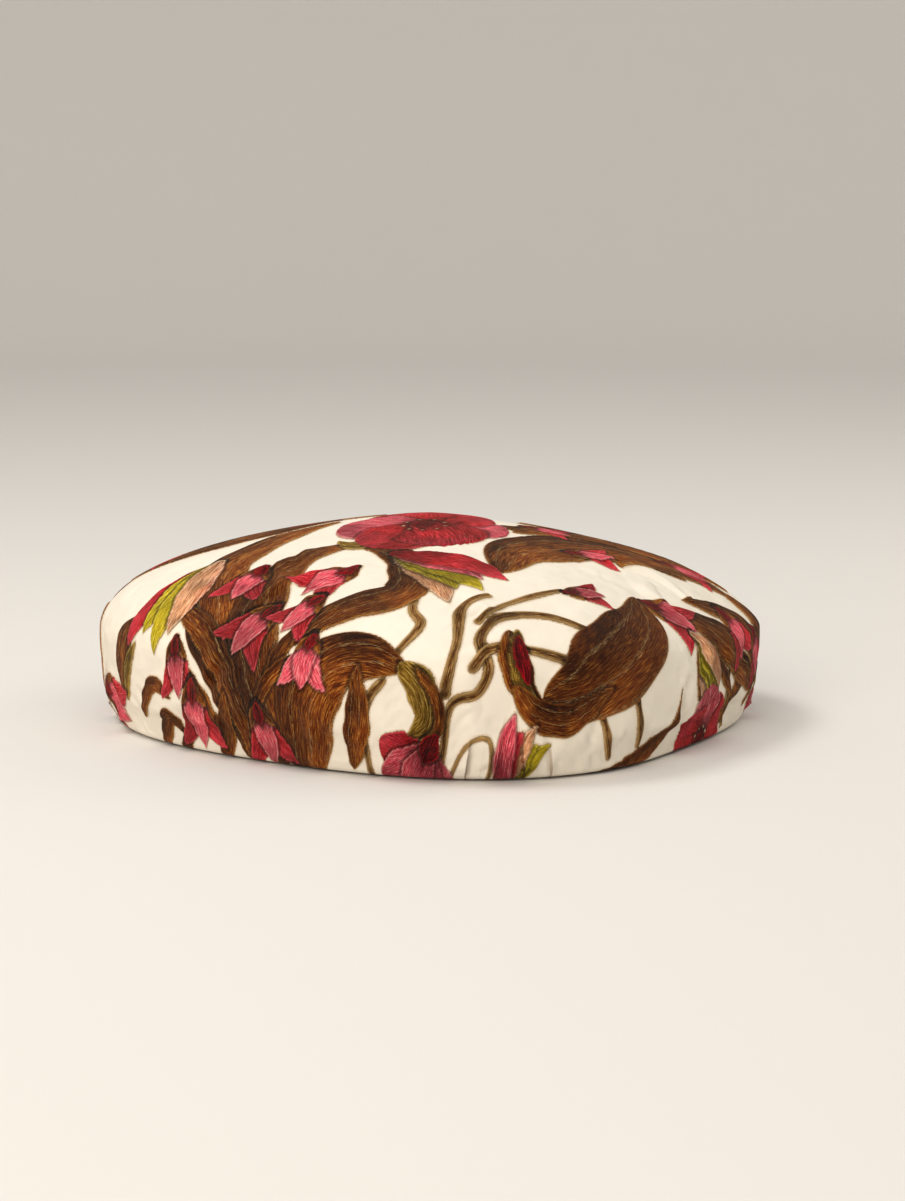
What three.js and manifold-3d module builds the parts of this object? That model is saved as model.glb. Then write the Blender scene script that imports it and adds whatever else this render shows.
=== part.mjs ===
// A chair seat pad: a domed, fabric-covered seat on a beech frame, built layer by layer as an
// upholsterer builds it. Millimetres, +Z up, the seat's front towards -Y. The origin is the middle
// of the underside, in the plane of the four corner blocks that the chair's legs bolt up against.
import * as THREE from 'three';
import { mergeVertices } from 'three/addons/utils/BufferGeometryUtils.js';
import Module from 'manifold-3d';

const wasm = await Module();
wasm.setup();

// ---- Driving dimensions ----------------------------------------------------------------------

// The finished pad
const padWidth = 486;
const padDepth = 444;
const padHeight = 160;
const widestAboveRails = 9.3; // from the rails' top up to the pad's widest level
const bottomTuck = 13; // how far the bottom edge is drawn in from the widest level

// Its outline is a superellipse: 2 is an ellipse, and a higher number is squarer
const frontSquareness = 2.45;
const rearSquareness = 3.3;
const squarenessBlend = 0.35; // how gradually the front's shape turns into the rear's
const rearTaper = 0.11; // the share of its width that the pad loses from front to rear

// The dome above the widest level
const domeShoulder = 1.43;
const frontDomeFullness = 2.2;
const rearDomeFullness = 1.6;

// Thickness of each layer, from the outside in
const coverThickness = 2.0;
const waddingThickness = 8;
const calicoThickness = 0.8;
const crownThickness = 44; // soft foam crown above the firm foam core, at its highest point
const edgeFoamFoot = 1.2; // least thickness of the foam strip round the rails
const hessianThickness = 0.6;
const dustCoverThickness = 0.6;
const clearance = 0.3; // between pieces that touch

// Heights of the soft layers' edges
const dustCoverHeight = 0.5; // underside of the dust cover above the leg plane
const coverTurnRise = 5; // height of the cover's turn from side to underside
const coverTurnRun = 5; // and its width
const coverTurnEasing = 0.3; // how round the turn is: 0 is a square corner, 0.5 a chamfer
const softFootRise = 1.6; // from the cover's turn up to the edges of the layers inside it
const coverReturn = 17; // width of cover stapled under the rails
const dustCoverMargin = 6; // from the pad's bottom edge to the dust cover's edge
const dustCoverCutMargin = 3; // between the dust cover and a corner block

// Beech frame
const railThickness = 22;
const railHeight = 60;
const dowelDiameter = 8;
const dowelLength = 40;
const dowelPlay = 0.3; // radial
const dowelLow = 15; // height above the rail's underside
const dowelHigh = 46;

// Corner blocks, with the legs' tee nuts
const blockDepth = 46;
const blockWidth = 118;
const blockHeight = 45;
const boltHoleDiameter = 9;
const teeBarrelDiameter = 10;
const teeBarrelLength = 11;
const teeFlangeDiameter = 22;
const teeFlangeThickness = 1.6;
const teeThreadDiameter = 8;
const teeSetback = 21; // tee nut's axis, in from the rails' inner face

// Block screws
const screwShankDiameter = 4.6;
const screwTipCover = 10; // rail thickness left beyond a screw's tip, at the middle of the corner
const screwHeadDiameter = 9;
const screwHeadHeight = 3;
const screwHeadCrown = 0.7; // the share of the head's width that its flat top keeps
const screwTipLength = 8;
const screwSpacing = 62;
const screwHeight = 31;

// Webbing
const strapWidth = 50;
const strapThickness = 1.8;
const strapsEachWay = 4; // spread evenly over the frame's opening
const strapEndMargin = 7; // from the rails' outer edge to the end of a strap
const hessianMargin = 5; // from the rails' outer edge to the edge of the hessian

// Facets
const around = 40; // must divide by 8, so that the corners and the middles get a point
const sideRings = 4;
const domeRings = 8;
const roundFacets = 16;

// ---- Sizes that follow -----------------------------------------------------------------------

const waddingInset = coverThickness + clearance;
const calicoInset = waddingInset + waddingThickness + clearance;
const foamInset = calicoInset + calicoThickness + clearance;
const railInset = bottomTuck + foamInset + edgeFoamFoot + clearance;
const frameInset = railInset + railThickness; // the rails' inner face

const coverBottom = dustCoverHeight + dustCoverThickness + clearance;
const railBottom = coverBottom + coverThickness + clearance;
const railTop = railBottom + railHeight;
const strapSeat = railTop + clearance;
const strapRise = strapThickness + clearance; // of a strap that passes over another
const hessianBottom = strapSeat + strapRise + strapThickness + clearance;
const foamSeat = hessianBottom + hessianThickness + clearance;
const crownBottom = padHeight - foamInset - crownThickness;
const widestHeight = railTop + widestAboveRails; // height of the pad's widest level
const softFoot = coverBottom + coverTurnRise + softFootRise;
const screwLength = blockDepth + railThickness - screwTipCover;

const cornerAngles = {
  front_left: (5 * Math.PI) / 4,
  front_right: (7 * Math.PI) / 4,
  rear_right: Math.PI / 4,
  rear_left: (3 * Math.PI) / 4,
};

// ---- The outline -----------------------------------------------------------------------------

function signedPower(value, power) {
  return Math.sign(value) * Math.abs(value) ** power;
}

function rearShare(angle) {
  return (1 + Math.tanh(Math.sin(angle) / squarenessBlend)) / 2;
}

function plainOutline(angle, halfWidth) {
  const squareness = THREE.MathUtils.lerp(frontSquareness, rearSquareness, rearShare(angle));
  const y = (signedPower(Math.sin(angle), 2 / squareness) * padDepth) / 2;
  const taper = 1 - rearTaper * (y / padDepth + 0.5);
  return new THREE.Vector2(signedPower(Math.cos(angle), 2 / squareness) * halfWidth * taper, y);
}

const stations = Array.from({ length: around }, (_, i) => (2 * Math.PI * i) / around);
const unitHalfWidth = Math.max(...stations.map((angle) => plainOutline(angle, 1).x));
const outlineHalfWidth = padWidth / 2 / unitHalfWidth;

// A point of the outline, with the unit vectors out of the pad and round it anticlockwise
function outlineFrame(angle) {
  const step = 0.01;
  const point = plainOutline(angle, outlineHalfWidth);
  const tangent = plainOutline(angle + step, outlineHalfWidth)
    .sub(plainOutline(angle - step, outlineHalfWidth))
    .normalize();
  const normal = new THREE.Vector2(tangent.y, -tangent.x);
  return { point, tangent, normal };
}

function insetPoint(angle, inset) {
  const { point, normal } = outlineFrame(angle);
  return point.addScaledVector(normal, -inset);
}

// True where a plan point lies at least this far inside the outline
function isInside(x, y, inset) {
  const corners = stations.map((angle) => insetPoint(angle, inset));
  return corners.every((corner, i) => {
    const next = corners[(i + 1) % corners.length];
    return (next.x - corner.x) * (y - corner.y) - (next.y - corner.y) * (x - corner.x) >= 0;
  });
}

// ---- The pad's rounded surface, at any depth below the outer face ----------------------------

function tuckAt(z) {
  return z < widestHeight ? bottomTuck * (1 - z / widestHeight) ** 2 : 0;
}

function ringAt(inset, z) {
  return stations.map((angle) => {
    const point = insetPoint(angle, inset);
    return new THREE.Vector3(point.x, point.y, z);
  });
}

function domeHeight(angle, share, depth) {
  const fullness = THREE.MathUtils.lerp(frontDomeFullness, rearDomeFullness, rearShare(angle));
  const rise = padHeight - depth - widestHeight;
  return widestHeight + rise * Math.max(0, 1 - share ** domeShoulder) ** (1 / fullness);
}

// Rings of the dome from next to its top down to the widest level
function domeRingsAt(depth) {
  return Array.from({ length: domeRings }, (_, i) => {
    const share = Math.sin(((i + 1) * Math.PI) / 2 / domeRings);
    return stations.map((angle) => {
      const point = insetPoint(angle, depth).multiplyScalar(share);
      return new THREE.Vector3(point.x, point.y, domeHeight(angle, share, depth));
    });
  });
}

// Levels of the rings below the widest one. Every layer shares them, so that their facets nest.
const sideLevels = Array.from({ length: sideRings }, (_, i) =>
  THREE.MathUtils.lerp(strapSeat, softFoot, i / (sideRings - 1)),
);

function sideRing(depth, z) {
  return ringAt(depth + tuckAt(z), z);
}

function sideRingsAt(depth) {
  return sideLevels.map((z) => sideRing(depth, z));
}

function domeTop(depth) {
  return new THREE.Vector3(0, 0, padHeight - depth);
}

// ---- Closed geometry from rings --------------------------------------------------------------

function geometryFrom(vertices, triangles) {
  const geometry = new THREE.BufferGeometry();
  const positions = vertices.flatMap((vertex) => vertex.toArray());
  geometry.setAttribute('position', new THREE.Float32BufferAttribute(positions, 3));
  geometry.setIndex(triangles);
  return geometry;
}

// Rings run from the top down on an outer face, and up again on an inner one. A closed loft has a
// point above its first ring and below its last; a looped one joins its last ring to its first.
// Each quad's diagonal leans the same way whether the rings run up or down, so that the facets of
// nested layers are parallel.
function loft(rings, firstPoint, lastPoint) {
  const vertices = rings.flat();
  const triangles = [];
  const looped = firstPoint === undefined;
  const bands = looped ? rings.length : rings.length - 1;
  for (let i = 0; i < bands; i += 1) {
    const next = (i + 1) % rings.length;
    const rising = rings[next][0].z > rings[i][0].z;
    for (let j = 0; j < around; j += 1) {
      const k = (j + 1) % around;
      const [a, b] = [i * around + j, next * around + j];
      const [c, d] = [next * around + k, i * around + k];
      triangles.push(...(rising ? [a, b, d, b, c, d] : [a, b, c, a, c, d]));
    }
  }
  if (!looped) {
    const first = vertices.length;
    const last = first + 1;
    const lastRing = (rings.length - 1) * around;
    vertices.push(firstPoint, lastPoint);
    for (let j = 0; j < around; j += 1) {
      const k = (j + 1) % around;
      triangles.push(first, j, k);
      triangles.push(last, lastRing + k, lastRing + j);
    }
  }
  return geometryFrom(vertices, triangles);
}

// A flat sheet or plate with the pad's outline, drawn in by an inset
function plate(inset, bottom, top) {
  const rings = [ringAt(inset, top), ringAt(inset, bottom)];
  return loft(rings, new THREE.Vector3(0, 0, top), new THREE.Vector3(0, 0, bottom));
}

// A cloth over the dome and down the side, with its outer face at a depth below the pad's own
function blanket(depth, thickness) {
  const outer = [...domeRingsAt(depth), ...sideRingsAt(depth)];
  const inner = [...domeRingsAt(depth + thickness), ...sideRingsAt(depth + thickness)];
  return loft([...outer, ...inner.reverse()], domeTop(depth), domeTop(depth + thickness));
}

// ---- Cutting and joining ---------------------------------------------------------------------

function solidFrom(geometry) {
  const bare = geometry.clone();
  bare.deleteAttribute('normal');
  bare.deleteAttribute('uv');
  const merged = mergeVertices(bare, 1e-4);
  const vertProperties = new Float32Array(merged.attributes.position.array);
  const triVerts = new Uint32Array(merged.index.array);
  return new wasm.Manifold(new wasm.Mesh({ numProp: 3, vertProperties, triVerts }));
}

function geometryOf(solid) {
  const mesh = solid.getMesh();
  const geometry = new THREE.BufferGeometry();
  geometry.setAttribute('position', new THREE.Float32BufferAttribute(mesh.vertProperties, 3));
  geometry.setIndex(Array.from(mesh.triVerts));
  return geometry;
}

function cut(geometry, cutters) {
  const whole = solidFrom(geometry);
  const left = cutters.reduce((solid, cutter) => solid.subtract(solidFrom(cutter)), whole);
  return geometryOf(left);
}

function common(geometry, other) {
  return geometryOf(solidFrom(geometry).intersect(solidFrom(other)));
}

function slabBetween(low, high) {
  const side = 2 * Math.max(padWidth, padDepth);
  return new THREE.BoxGeometry(side, side, high - low).translate(0, 0, (low + high) / 2);
}

// ---- Corners: X runs out of the pad, Y runs round it, and the origin is the rails' inner face --

function cornerMatrix(angle) {
  const { normal, tangent } = outlineFrame(angle);
  const origin = insetPoint(angle, frameInset);
  const out = new THREE.Vector3(normal.x, normal.y, 0);
  const round = new THREE.Vector3(tangent.x, tangent.y, 0);
  const matrix = new THREE.Matrix4().makeBasis(out, round, new THREE.Vector3(0, 0, 1));
  return matrix.setPosition(origin.x, origin.y, 0);
}

function atCorner(angle, geometry) {
  return geometry.applyMatrix4(cornerMatrix(angle));
}

// A round bar along X, Y or Z, from a starting point
function bar(diameter, length, axis, start) {
  const geometry = new THREE.CylinderGeometry(diameter / 2, diameter / 2, length, roundFacets);
  geometry.translate(0, length / 2, 0);
  if (axis === 'x') {
    geometry.rotateZ(-Math.PI / 2);
  }
  if (axis === 'z') {
    geometry.rotateX(Math.PI / 2);
  }
  return geometry.translate(...start);
}

const jointHeights = { low: railBottom + dowelLow, high: railBottom + dowelHigh };
const screwSides = { left: -screwSpacing / 2, right: screwSpacing / 2 };

function dowelBar(angle, z, play) {
  const length = dowelLength + 2 * play;
  const start = [railThickness / 2, -length / 2, z];
  return atCorner(angle, bar(dowelDiameter + 2 * play, length, 'y', start));
}

// The block's inner face, where the screw heads bear
const screwStart = -blockDepth - clearance;

function screwHole(angle, y) {
  const diameter = screwShankDiameter + 2 * clearance;
  const length = screwLength + 2 * clearance;
  return atCorner(angle, bar(diameter, length, 'x', [screwStart - clearance, y, screwHeight]));
}

function cornerHoles(angle) {
  const dowels = Object.values(jointHeights).map((z) => dowelBar(angle, z, dowelPlay));
  const screws = Object.values(screwSides).map((y) => screwHole(angle, y));
  return [...dowels, ...screws];
}

// ---- Materials -------------------------------------------------------------------------------

function material(color, roughness, metalness = 0) {
  return new THREE.MeshStandardMaterial({ color, roughness, metalness });
}

const finishes = {
  velvet: () => material('#8a3428', 0.85),
  wadding: () => material('#f4f3ee', 0.95),
  calico: () => material('#e6dcc4', 0.9),
  softFoam: () => material('#f0e6c8', 0.95),
  firmFoam: () => material('#c9d4df', 0.95),
  hessian: () => material('#a98a5c', 0.95),
  jute: () => material('#b08d5b', 0.9),
  beech: () => material('#c99b6a', 0.6),
  birchPly: () => material('#d9b98a', 0.65),
  dowelBeech: () => material('#d8b083', 0.6),
  zincSteel: () => material('#c3c7cb', 0.35, 1),
  cambric: () => material('#1f1f21', 0.95),
};

const pad = new THREE.Group();

function addPiece(name, geometry, finish) {
  const mesh = new THREE.Mesh(geometry, finish());
  mesh.name = name;
  pad.add(mesh);
}

// ---- The frame -------------------------------------------------------------------------------

// A rail is the stretch of the frame ring between two corners, with its ends cut square to the
// ring and half a clearance short of the joint.
function railGeometry(startAngle, endAngle) {
  const span = THREE.MathUtils.euclideanModulo(endAngle - startAngle, 2 * Math.PI);
  const count = Math.round((span / (2 * Math.PI)) * around);
  const angles = Array.from({ length: count + 1 }, (_, i) => startAngle + (span * i) / count);
  const face = (inset) =>
    angles.map((angle, i) => {
      const { tangent } = outlineFrame(angle);
      const shift = i === 0 ? clearance / 2 : i === count ? -clearance / 2 : 0;
      return insetPoint(angle, inset).addScaledVector(tangent, shift);
    });
  const shape = new THREE.Shape([...face(railInset), ...face(frameInset).reverse()]);
  const blank = new THREE.ExtrudeGeometry(shape, { depth: railHeight, bevelEnabled: false });
  return blank.translate(0, 0, railBottom);
}

const rails = {
  front_rail: ['front_left', 'front_right'],
  right_rail: ['front_right', 'rear_right'],
  rear_rail: ['rear_right', 'rear_left'],
  left_rail: ['rear_left', 'front_left'],
};

for (const [name, [startCorner, endCorner]] of Object.entries(rails)) {
  const start = cornerAngles[startCorner];
  const end = cornerAngles[endCorner];
  const holes = [...cornerHoles(start), ...cornerHoles(end)];
  addPiece(name, cut(railGeometry(start, end), holes), finishes.beech);
}

// Each corner block fills the corner inside the rails. Its underside is the leg plane.
function blockGeometry(angle) {
  const reach = 2 * railThickness; // past the rails, where the frame's inner face trims the block
  const blank = new THREE.BoxGeometry(blockDepth + reach, blockWidth, 2 * blockHeight);
  blank.translate((reach - blockDepth) / 2, 0, 0);
  const inside = plate(frameInset + clearance, 0, blockHeight);
  return common(atCorner(angle, blank), inside);
}

function teeNutHoles(angle) {
  const barrelHole = teeBarrelDiameter + 2 * clearance;
  const barrelDepth = teeBarrelLength + clearance;
  const through = bar(boltHoleDiameter, 3 * blockHeight, 'z', [-teeSetback, 0, -blockHeight]);
  const barrel = bar(barrelHole, 2 * barrelDepth, 'z', [-teeSetback, 0, blockHeight - barrelDepth]);
  return [atCorner(angle, through), atCorner(angle, barrel)];
}

// A pronged tee nut drops into the block from above, with its flange on the block's top face.
function teeNutGeometry() {
  const bore = teeThreadDiameter / 2;
  const barrel = teeBarrelDiameter / 2;
  const flange = teeFlangeDiameter / 2;
  const seat = blockHeight + clearance;
  const top = seat + teeFlangeThickness;
  const foot = seat - teeBarrelLength;
  const profile = [
    [bore, foot],
    [barrel, foot],
    [barrel, seat],
    [flange, seat],
    [flange, top],
    [bore, top],
    [bore, foot],
  ].map(([radius, height]) => new THREE.Vector2(radius, height));
  const geometry = new THREE.LatheGeometry(profile, roundFacets);
  return geometry.rotateX(Math.PI / 2).translate(-teeSetback, 0, 0);
}

// A pan-head screw from the block's inner face, through the block and into a rail
function screwGeometry(y) {
  const shank = screwShankDiameter / 2;
  const head = screwHeadDiameter / 2;
  const profile = [
    [0, -screwHeadHeight],
    [screwHeadCrown * head, -screwHeadHeight],
    [head, -screwHeadHeight / 2],
    [head, 0],
    [shank, 0],
    [shank, screwLength - screwTipLength],
    [0, screwLength],
  ].map(([radius, height]) => new THREE.Vector2(radius, height));
  const geometry = new THREE.LatheGeometry(profile, roundFacets);
  return geometry.rotateZ(-Math.PI / 2).translate(screwStart, y, screwHeight);
}

for (const [corner, angle] of Object.entries(cornerAngles)) {
  const holes = [...teeNutHoles(angle), ...cornerHoles(angle)];
  addPiece(`corner_block_${corner}`, cut(blockGeometry(angle), holes), finishes.birchPly);
  addPiece(`tee_nut_${corner}`, atCorner(angle, teeNutGeometry()), finishes.zincSteel);
  for (const [level, z] of Object.entries(jointHeights)) {
    addPiece(`dowel_${corner}_${level}`, dowelBar(angle, z, 0), finishes.dowelBeech);
  }
  for (const [side, y] of Object.entries(screwSides)) {
    const screw = atCorner(angle, screwGeometry(y));
    addPiece(`block_screw_${corner}_${side}`, screw, finishes.zincSteel);
  }
}

// ---- The webbing, woven over and under -------------------------------------------------------

function spread(opening) {
  const pitch = opening / (strapsEachWay + 1);
  return Array.from({ length: strapsEachWay }, (_, i) => (i - (strapsEachWay - 1) / 2) * pitch);
}

const strapRows = spread(padDepth - 2 * frameInset); // Y of each crosswise strap
const strapColumns = spread(padWidth - 2 * frameInset); // X of each lengthwise strap

// How far a strap can run in one direction before its end corners leave the rails' top
function strapReach(centre, lengthwise, direction) {
  const edges = [centre - strapWidth / 2, centre + strapWidth / 2];
  let reach = 0;
  const fits = (length) =>
    edges.every((edge) => {
      const x = lengthwise ? edge : direction * length;
      const y = lengthwise ? direction * length : edge;
      return isInside(x, y, railInset + strapEndMargin);
    });
  while (fits(reach + 1)) {
    reach += 1;
  }
  return reach;
}

// The strap's side view: along it, then up. It is flat where it crosses another strap, and its
// ends lie on the rails.
function strapGeometry(centre, lengthwise, isOver) {
  const crossings = lengthwise ? strapRows : strapColumns;
  const flat = strapWidth / 2 + clearance;
  const start = -strapReach(centre, lengthwise, -1);
  const end = strapReach(centre, lengthwise, 1);
  const path = [[start, 0]];
  crossings.forEach((crossing, i) => {
    const rise = isOver(i) ? strapRise : 0;
    path.push([crossing - flat, rise]);
    path.push([crossing + flat, rise]);
  });
  path.push([end, 0]);
  const under = path.map(([along, rise]) => new THREE.Vector2(along, strapSeat + rise));
  const over = under.map(({ x, y }) => new THREE.Vector2(x, y + strapThickness));
  const shape = new THREE.Shape([...under, ...over.reverse()]);
  const geometry = new THREE.ExtrudeGeometry(shape, { depth: strapWidth, bevelEnabled: false });
  geometry.translate(0, 0, -strapWidth / 2).rotateX(Math.PI / 2);
  if (lengthwise) {
    return geometry.rotateZ(Math.PI / 2).translate(centre, 0, 0);
  }
  return geometry.translate(0, centre, 0);
}

strapColumns.forEach((x, i) => {
  const geometry = strapGeometry(x, true, (j) => (i + j) % 2 === 0);
  addPiece(`webbing_lengthwise_${i + 1}`, geometry, finishes.jute);
});

strapRows.forEach((y, j) => {
  const geometry = strapGeometry(y, false, (i) => (i + j) % 2 === 1);
  addPiece(`webbing_crosswise_${j + 1}`, geometry, finishes.jute);
});

addPiece(
  'hessian_platform',
  plate(railInset + hessianMargin, hessianBottom, hessianBottom + hessianThickness),
  finishes.hessian,
);

// ---- Foam ------------------------------------------------------------------------------------

const foamRings = [...domeRingsAt(foamInset), sideRing(foamInset, strapSeat)];
const foamBlank = loft(foamRings, domeTop(foamInset), new THREE.Vector3(0, 0, strapSeat));
const hessianRecess = plate(railInset + hessianMargin - clearance, 0, foamSeat);
const coreBlank = common(foamBlank, slabBetween(0, crownBottom - clearance / 2));
addPiece('firm_foam_core', cut(coreBlank, [hessianRecess]), finishes.firmFoam);
addPiece(
  'soft_foam_crown',
  common(foamBlank, slabBetween(crownBottom + clearance / 2, padHeight)),
  finishes.softFoam,
);

// A foam strip glued round the outside of the rails, which fills the side out to the lining
const stripLevels = [railTop, ...sideLevels.slice(1)];
const stripRings = [
  ...stripLevels.map((z) => sideRing(foamInset, z)),
  ringAt(railInset - clearance, softFoot),
  ringAt(railInset - clearance, railTop),
];
addPiece('edge_foam_strip', loft(stripRings), finishes.softFoam);

// ---- Cloth layers ----------------------------------------------------------------------------

addPiece('calico_lining', blanket(calicoInset, calicoThickness), finishes.calico);
addPiece('polyester_wadding', blanket(waddingInset, waddingThickness), finishes.wadding);

// The velvet cover turns under the rails all round and ends in a stapled return.
function coverGeometry() {
  const hem = railInset + coverReturn;
  const top = coverBottom + coverThickness;
  const turn = coverBottom + coverTurnRise;
  const outer = [
    ...domeRingsAt(0),
    ...sideRingsAt(0),
    sideRing(0, turn),
    ringAt(
      bottomTuck + coverTurnEasing * coverTurnRun,
      coverBottom + coverTurnEasing * coverTurnRise,
    ),
    ringAt(bottomTuck + coverTurnRun, coverBottom),
    ringAt(hem, coverBottom),
  ];
  const inner = [
    ringAt(hem, top),
    ringAt(bottomTuck + coverTurnRun, top),
    sideRing(coverThickness, turn),
    ...sideRingsAt(coverThickness).reverse(),
    ...domeRingsAt(coverThickness).reverse(),
  ];
  return loft([...outer, ...inner], domeTop(0), domeTop(coverThickness));
}

addPiece('velvet_cover', coverGeometry(), finishes.velvet);

// The dust cover closes the underside, and is cut away round the four corner blocks.
function dustCoverGeometry() {
  const sheet = plate(
    bottomTuck + dustCoverMargin,
    dustCoverHeight,
    dustCoverHeight + dustCoverThickness,
  );
  const reach = frameInset; // past the pad's edge
  const depth = blockDepth + dustCoverCutMargin + reach;
  const notches = Object.values(cornerAngles).map((angle) => {
    const width = blockWidth + 2 * dustCoverCutMargin;
    const notch = new THREE.BoxGeometry(depth, width, blockHeight);
    return atCorner(angle, notch.translate(reach - depth / 2, 0, 0));
  });
  return cut(sheet, notches);
}

addPiece('dust_cover', dustCoverGeometry(), finishes.cambric);

export default pad;
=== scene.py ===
"""The looks of an upholstered chair seat pad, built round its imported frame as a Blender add-on.

Lengths in the code are metres unless a name ends in _mm or _MM. Motifs have their places in
millimetres on the velvet laid flat, measured from under the crown: x to the pad's right, y to its
rear.
"""

import math

import bmesh
import bpy
import numpy as np
from bpy.props import FloatProperty, FloatVectorProperty, IntProperty, PointerProperty, StringProperty
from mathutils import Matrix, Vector


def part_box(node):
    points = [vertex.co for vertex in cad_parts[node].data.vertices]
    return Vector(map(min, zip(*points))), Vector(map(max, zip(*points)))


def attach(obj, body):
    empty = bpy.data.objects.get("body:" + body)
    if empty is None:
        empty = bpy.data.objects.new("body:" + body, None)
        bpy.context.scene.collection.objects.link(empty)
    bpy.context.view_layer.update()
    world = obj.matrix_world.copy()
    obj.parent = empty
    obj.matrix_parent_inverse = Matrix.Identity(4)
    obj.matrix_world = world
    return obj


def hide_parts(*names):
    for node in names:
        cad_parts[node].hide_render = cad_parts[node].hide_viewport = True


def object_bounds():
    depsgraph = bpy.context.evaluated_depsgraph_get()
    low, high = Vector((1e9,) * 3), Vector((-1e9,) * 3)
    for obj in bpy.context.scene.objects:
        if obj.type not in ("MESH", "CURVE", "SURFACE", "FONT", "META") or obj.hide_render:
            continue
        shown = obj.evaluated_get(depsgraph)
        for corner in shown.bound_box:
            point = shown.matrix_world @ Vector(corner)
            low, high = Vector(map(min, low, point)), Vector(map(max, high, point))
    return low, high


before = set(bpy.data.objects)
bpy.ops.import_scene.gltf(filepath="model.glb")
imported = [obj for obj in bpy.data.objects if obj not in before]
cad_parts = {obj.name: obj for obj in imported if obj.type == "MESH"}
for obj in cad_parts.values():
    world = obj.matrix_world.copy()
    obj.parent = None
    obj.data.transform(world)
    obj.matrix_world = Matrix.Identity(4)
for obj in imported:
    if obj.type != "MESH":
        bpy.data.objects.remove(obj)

bl_info = {
    "name": "Upholstered Seat Pad",
    "version": (1, 0, 0),
    "blender": (4, 5, 0),
    "location": "3D View > Sidebar > Seat Pad",
    "description": "Builds the cloth, foam, webbing and timber finishes of a chair seat pad",
    "category": "Object",
}

CAD_LOW, CAD_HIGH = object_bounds()
COVER_LOW, COVER_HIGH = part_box("velvet_cover")
MM = 0.001
TAU = 2 * math.pi
CORNERS = ("front_left", "front_right", "rear_left", "rear_right")


# ---- Sizes and colours -------------------------------------------------------------------------

def metres(name, description, default):
    return FloatProperty(name=name, description=description, default=default, unit="LENGTH")


def number(name, description, default):
    return FloatProperty(name=name, description=description, default=default)


def hex_colour(name, description, default):
    return StringProperty(name=name, description=description, default=default)


class PadShape(bpy.types.PropertyGroup):
    """The pad's outline and profile, which every soft layer follows."""

    widest_height: metres("Widest height", "Height of the widest level above the leg plane", 0.073)
    bottom_tuck: metres("Bottom tuck", "How far the bottom edge is drawn in", 0.013)
    front_squareness: number("Front squareness", "Superellipse exponent of the front", 2.45)
    rear_squareness: number("Rear squareness", "Superellipse exponent of the rear", 3.3)
    squareness_blend: number("Squareness blend", "How gradually front turns into rear", 0.35)
    rear_taper: number("Rear taper", "Share of its width that the pad loses to the rear", 0.11)
    dome_shoulder: number("Dome shoulder", "Exponent of the dome along the seat", 1.43)
    front_fullness: number("Front fullness", "How full the dome is at the front", 2.2)
    rear_fullness: number("Rear fullness", "How full the dome is at the rear", 1.6)


class VelvetCloth(bpy.types.PropertyGroup):
    """The cut velvet: its relief, its folds and its dyes."""

    ring_spacing: metres("Ring spacing", "Distance between the rings of the finished mesh", 0.0015)
    turn_radius: metres("Turn radius", "Radius of the turn under the bottom edge", 0.005)
    pile_height: metres("Pile height", "How far the pile stands above the ground weave", 0.0015)
    pleat_height: metres("Pleat height", "How far a corner pleat stands proud", 0.0050)
    pull_cap: metres("Pull cap", "Most that the simulated pucker may move the cloth", 0.003)
    deepest: metres("Deepest hollow", "How far the cloth may sink towards the wadding", 0.0009)
    ivory: hex_colour("Ivory", "Ground weave", "#EEE6D6")
    leaf: hex_colour("Leaf", "Brown pile of leaves", "#70320A")
    leaf_dark: hex_colour("Leaf shade", "Shaded side of leaves", "#2C0F03")
    # Each *_light colour below is painted sheen: the lighter streaks and edges of the pile, where it
    # catches the light.
    leaf_light: hex_colour("Leaf light", "Highlighted streaks of leaves", "#B7792F")
    vein: hex_colour("Vein", "Loops along the middle of leaves", "#CFB27A")
    stem: hex_colour("Stem", "Middle of stems", "#5A310B")
    # Stem edge colours the stems' fuzzy edges; it is also their painted sheen, and the painted shade
    # on the ground beside each motif.
    stem_edge: hex_colour("Stem edge", "Fuzzy edges of stems", "#B8935A")
    fold_shadow: hex_colour("Fold shadow", "Shade inside a pleat", "#8A6A4C")
    crimson: hex_colour("Crimson", "Petals", "#B00E18")
    crimson_dark: hex_colour("Crimson shade", "Throats of flowers", "#4A0308")
    crimson_light: hex_colour("Crimson light", "Highlighted streaks of petals", "#E4505A")
    pink: hex_colour("Pink", "Pale petals", "#D9485A")
    pink_light: hex_colour("Pink light", "Highlighted streaks of pale petals", "#F3A6A4")
    olive: hex_colour("Olive", "Undersides of curled leaves", "#7E5C18")
    olive_light: hex_colour("Olive light", "Highlighted streaks of undersides", "#CBA955")
    chartreuse: hex_colour("Chartreuse", "Green-yellow buds", "#B09A08")
    chartreuse_light: hex_colour("Chartreuse light", "Highlighted streaks of buds", "#E2D250")
    peach: hex_colour("Peach", "Peach buds", "#E09C6C")
    peach_light: hex_colour("Peach light", "Highlighted streaks of peach buds", "#F3D6B4")


class InnerMakeup(bpy.types.PropertyGroup):
    """Sizes of the layers and fixings under the cover."""

    calico_inset: metres("Calico depth", "Depth of the calico below the velvet's face", 0.0106)
    wadding_inset: metres("Wadding depth", "Depth of the wadding below the velvet's face", 0.0023)
    wadding_thickness: metres("Wadding thickness", "Loft of the polyester wadding", 0.008)
    calico_thickness: metres("Calico thickness", "Thickness of the lining", 0.0008)
    foam_voxel: metres("Foam voxel", "Fineness of the foam pieces' surfaces", 0.004)
    staple_pitch: metres("Staple pitch", "Distance between staples in the dust cover", 0.026)
    staple_crown: metres("Staple crown", "Width of a staple", 0.0095)
    block_clearance: metres("Block clearance", "Least gap from a staple to a block", 0.018)
    staple_inset: metres("Staple inset", "From the bottom edge to the row of staples", 0.014)
    staple_wire: metres("Staple wire", "Thickness of a staple's wire", 0.0009)
    tacks_per_end: IntProperty(name="Tacks per end", description="Tacks in a strap's end", default=4)


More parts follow.
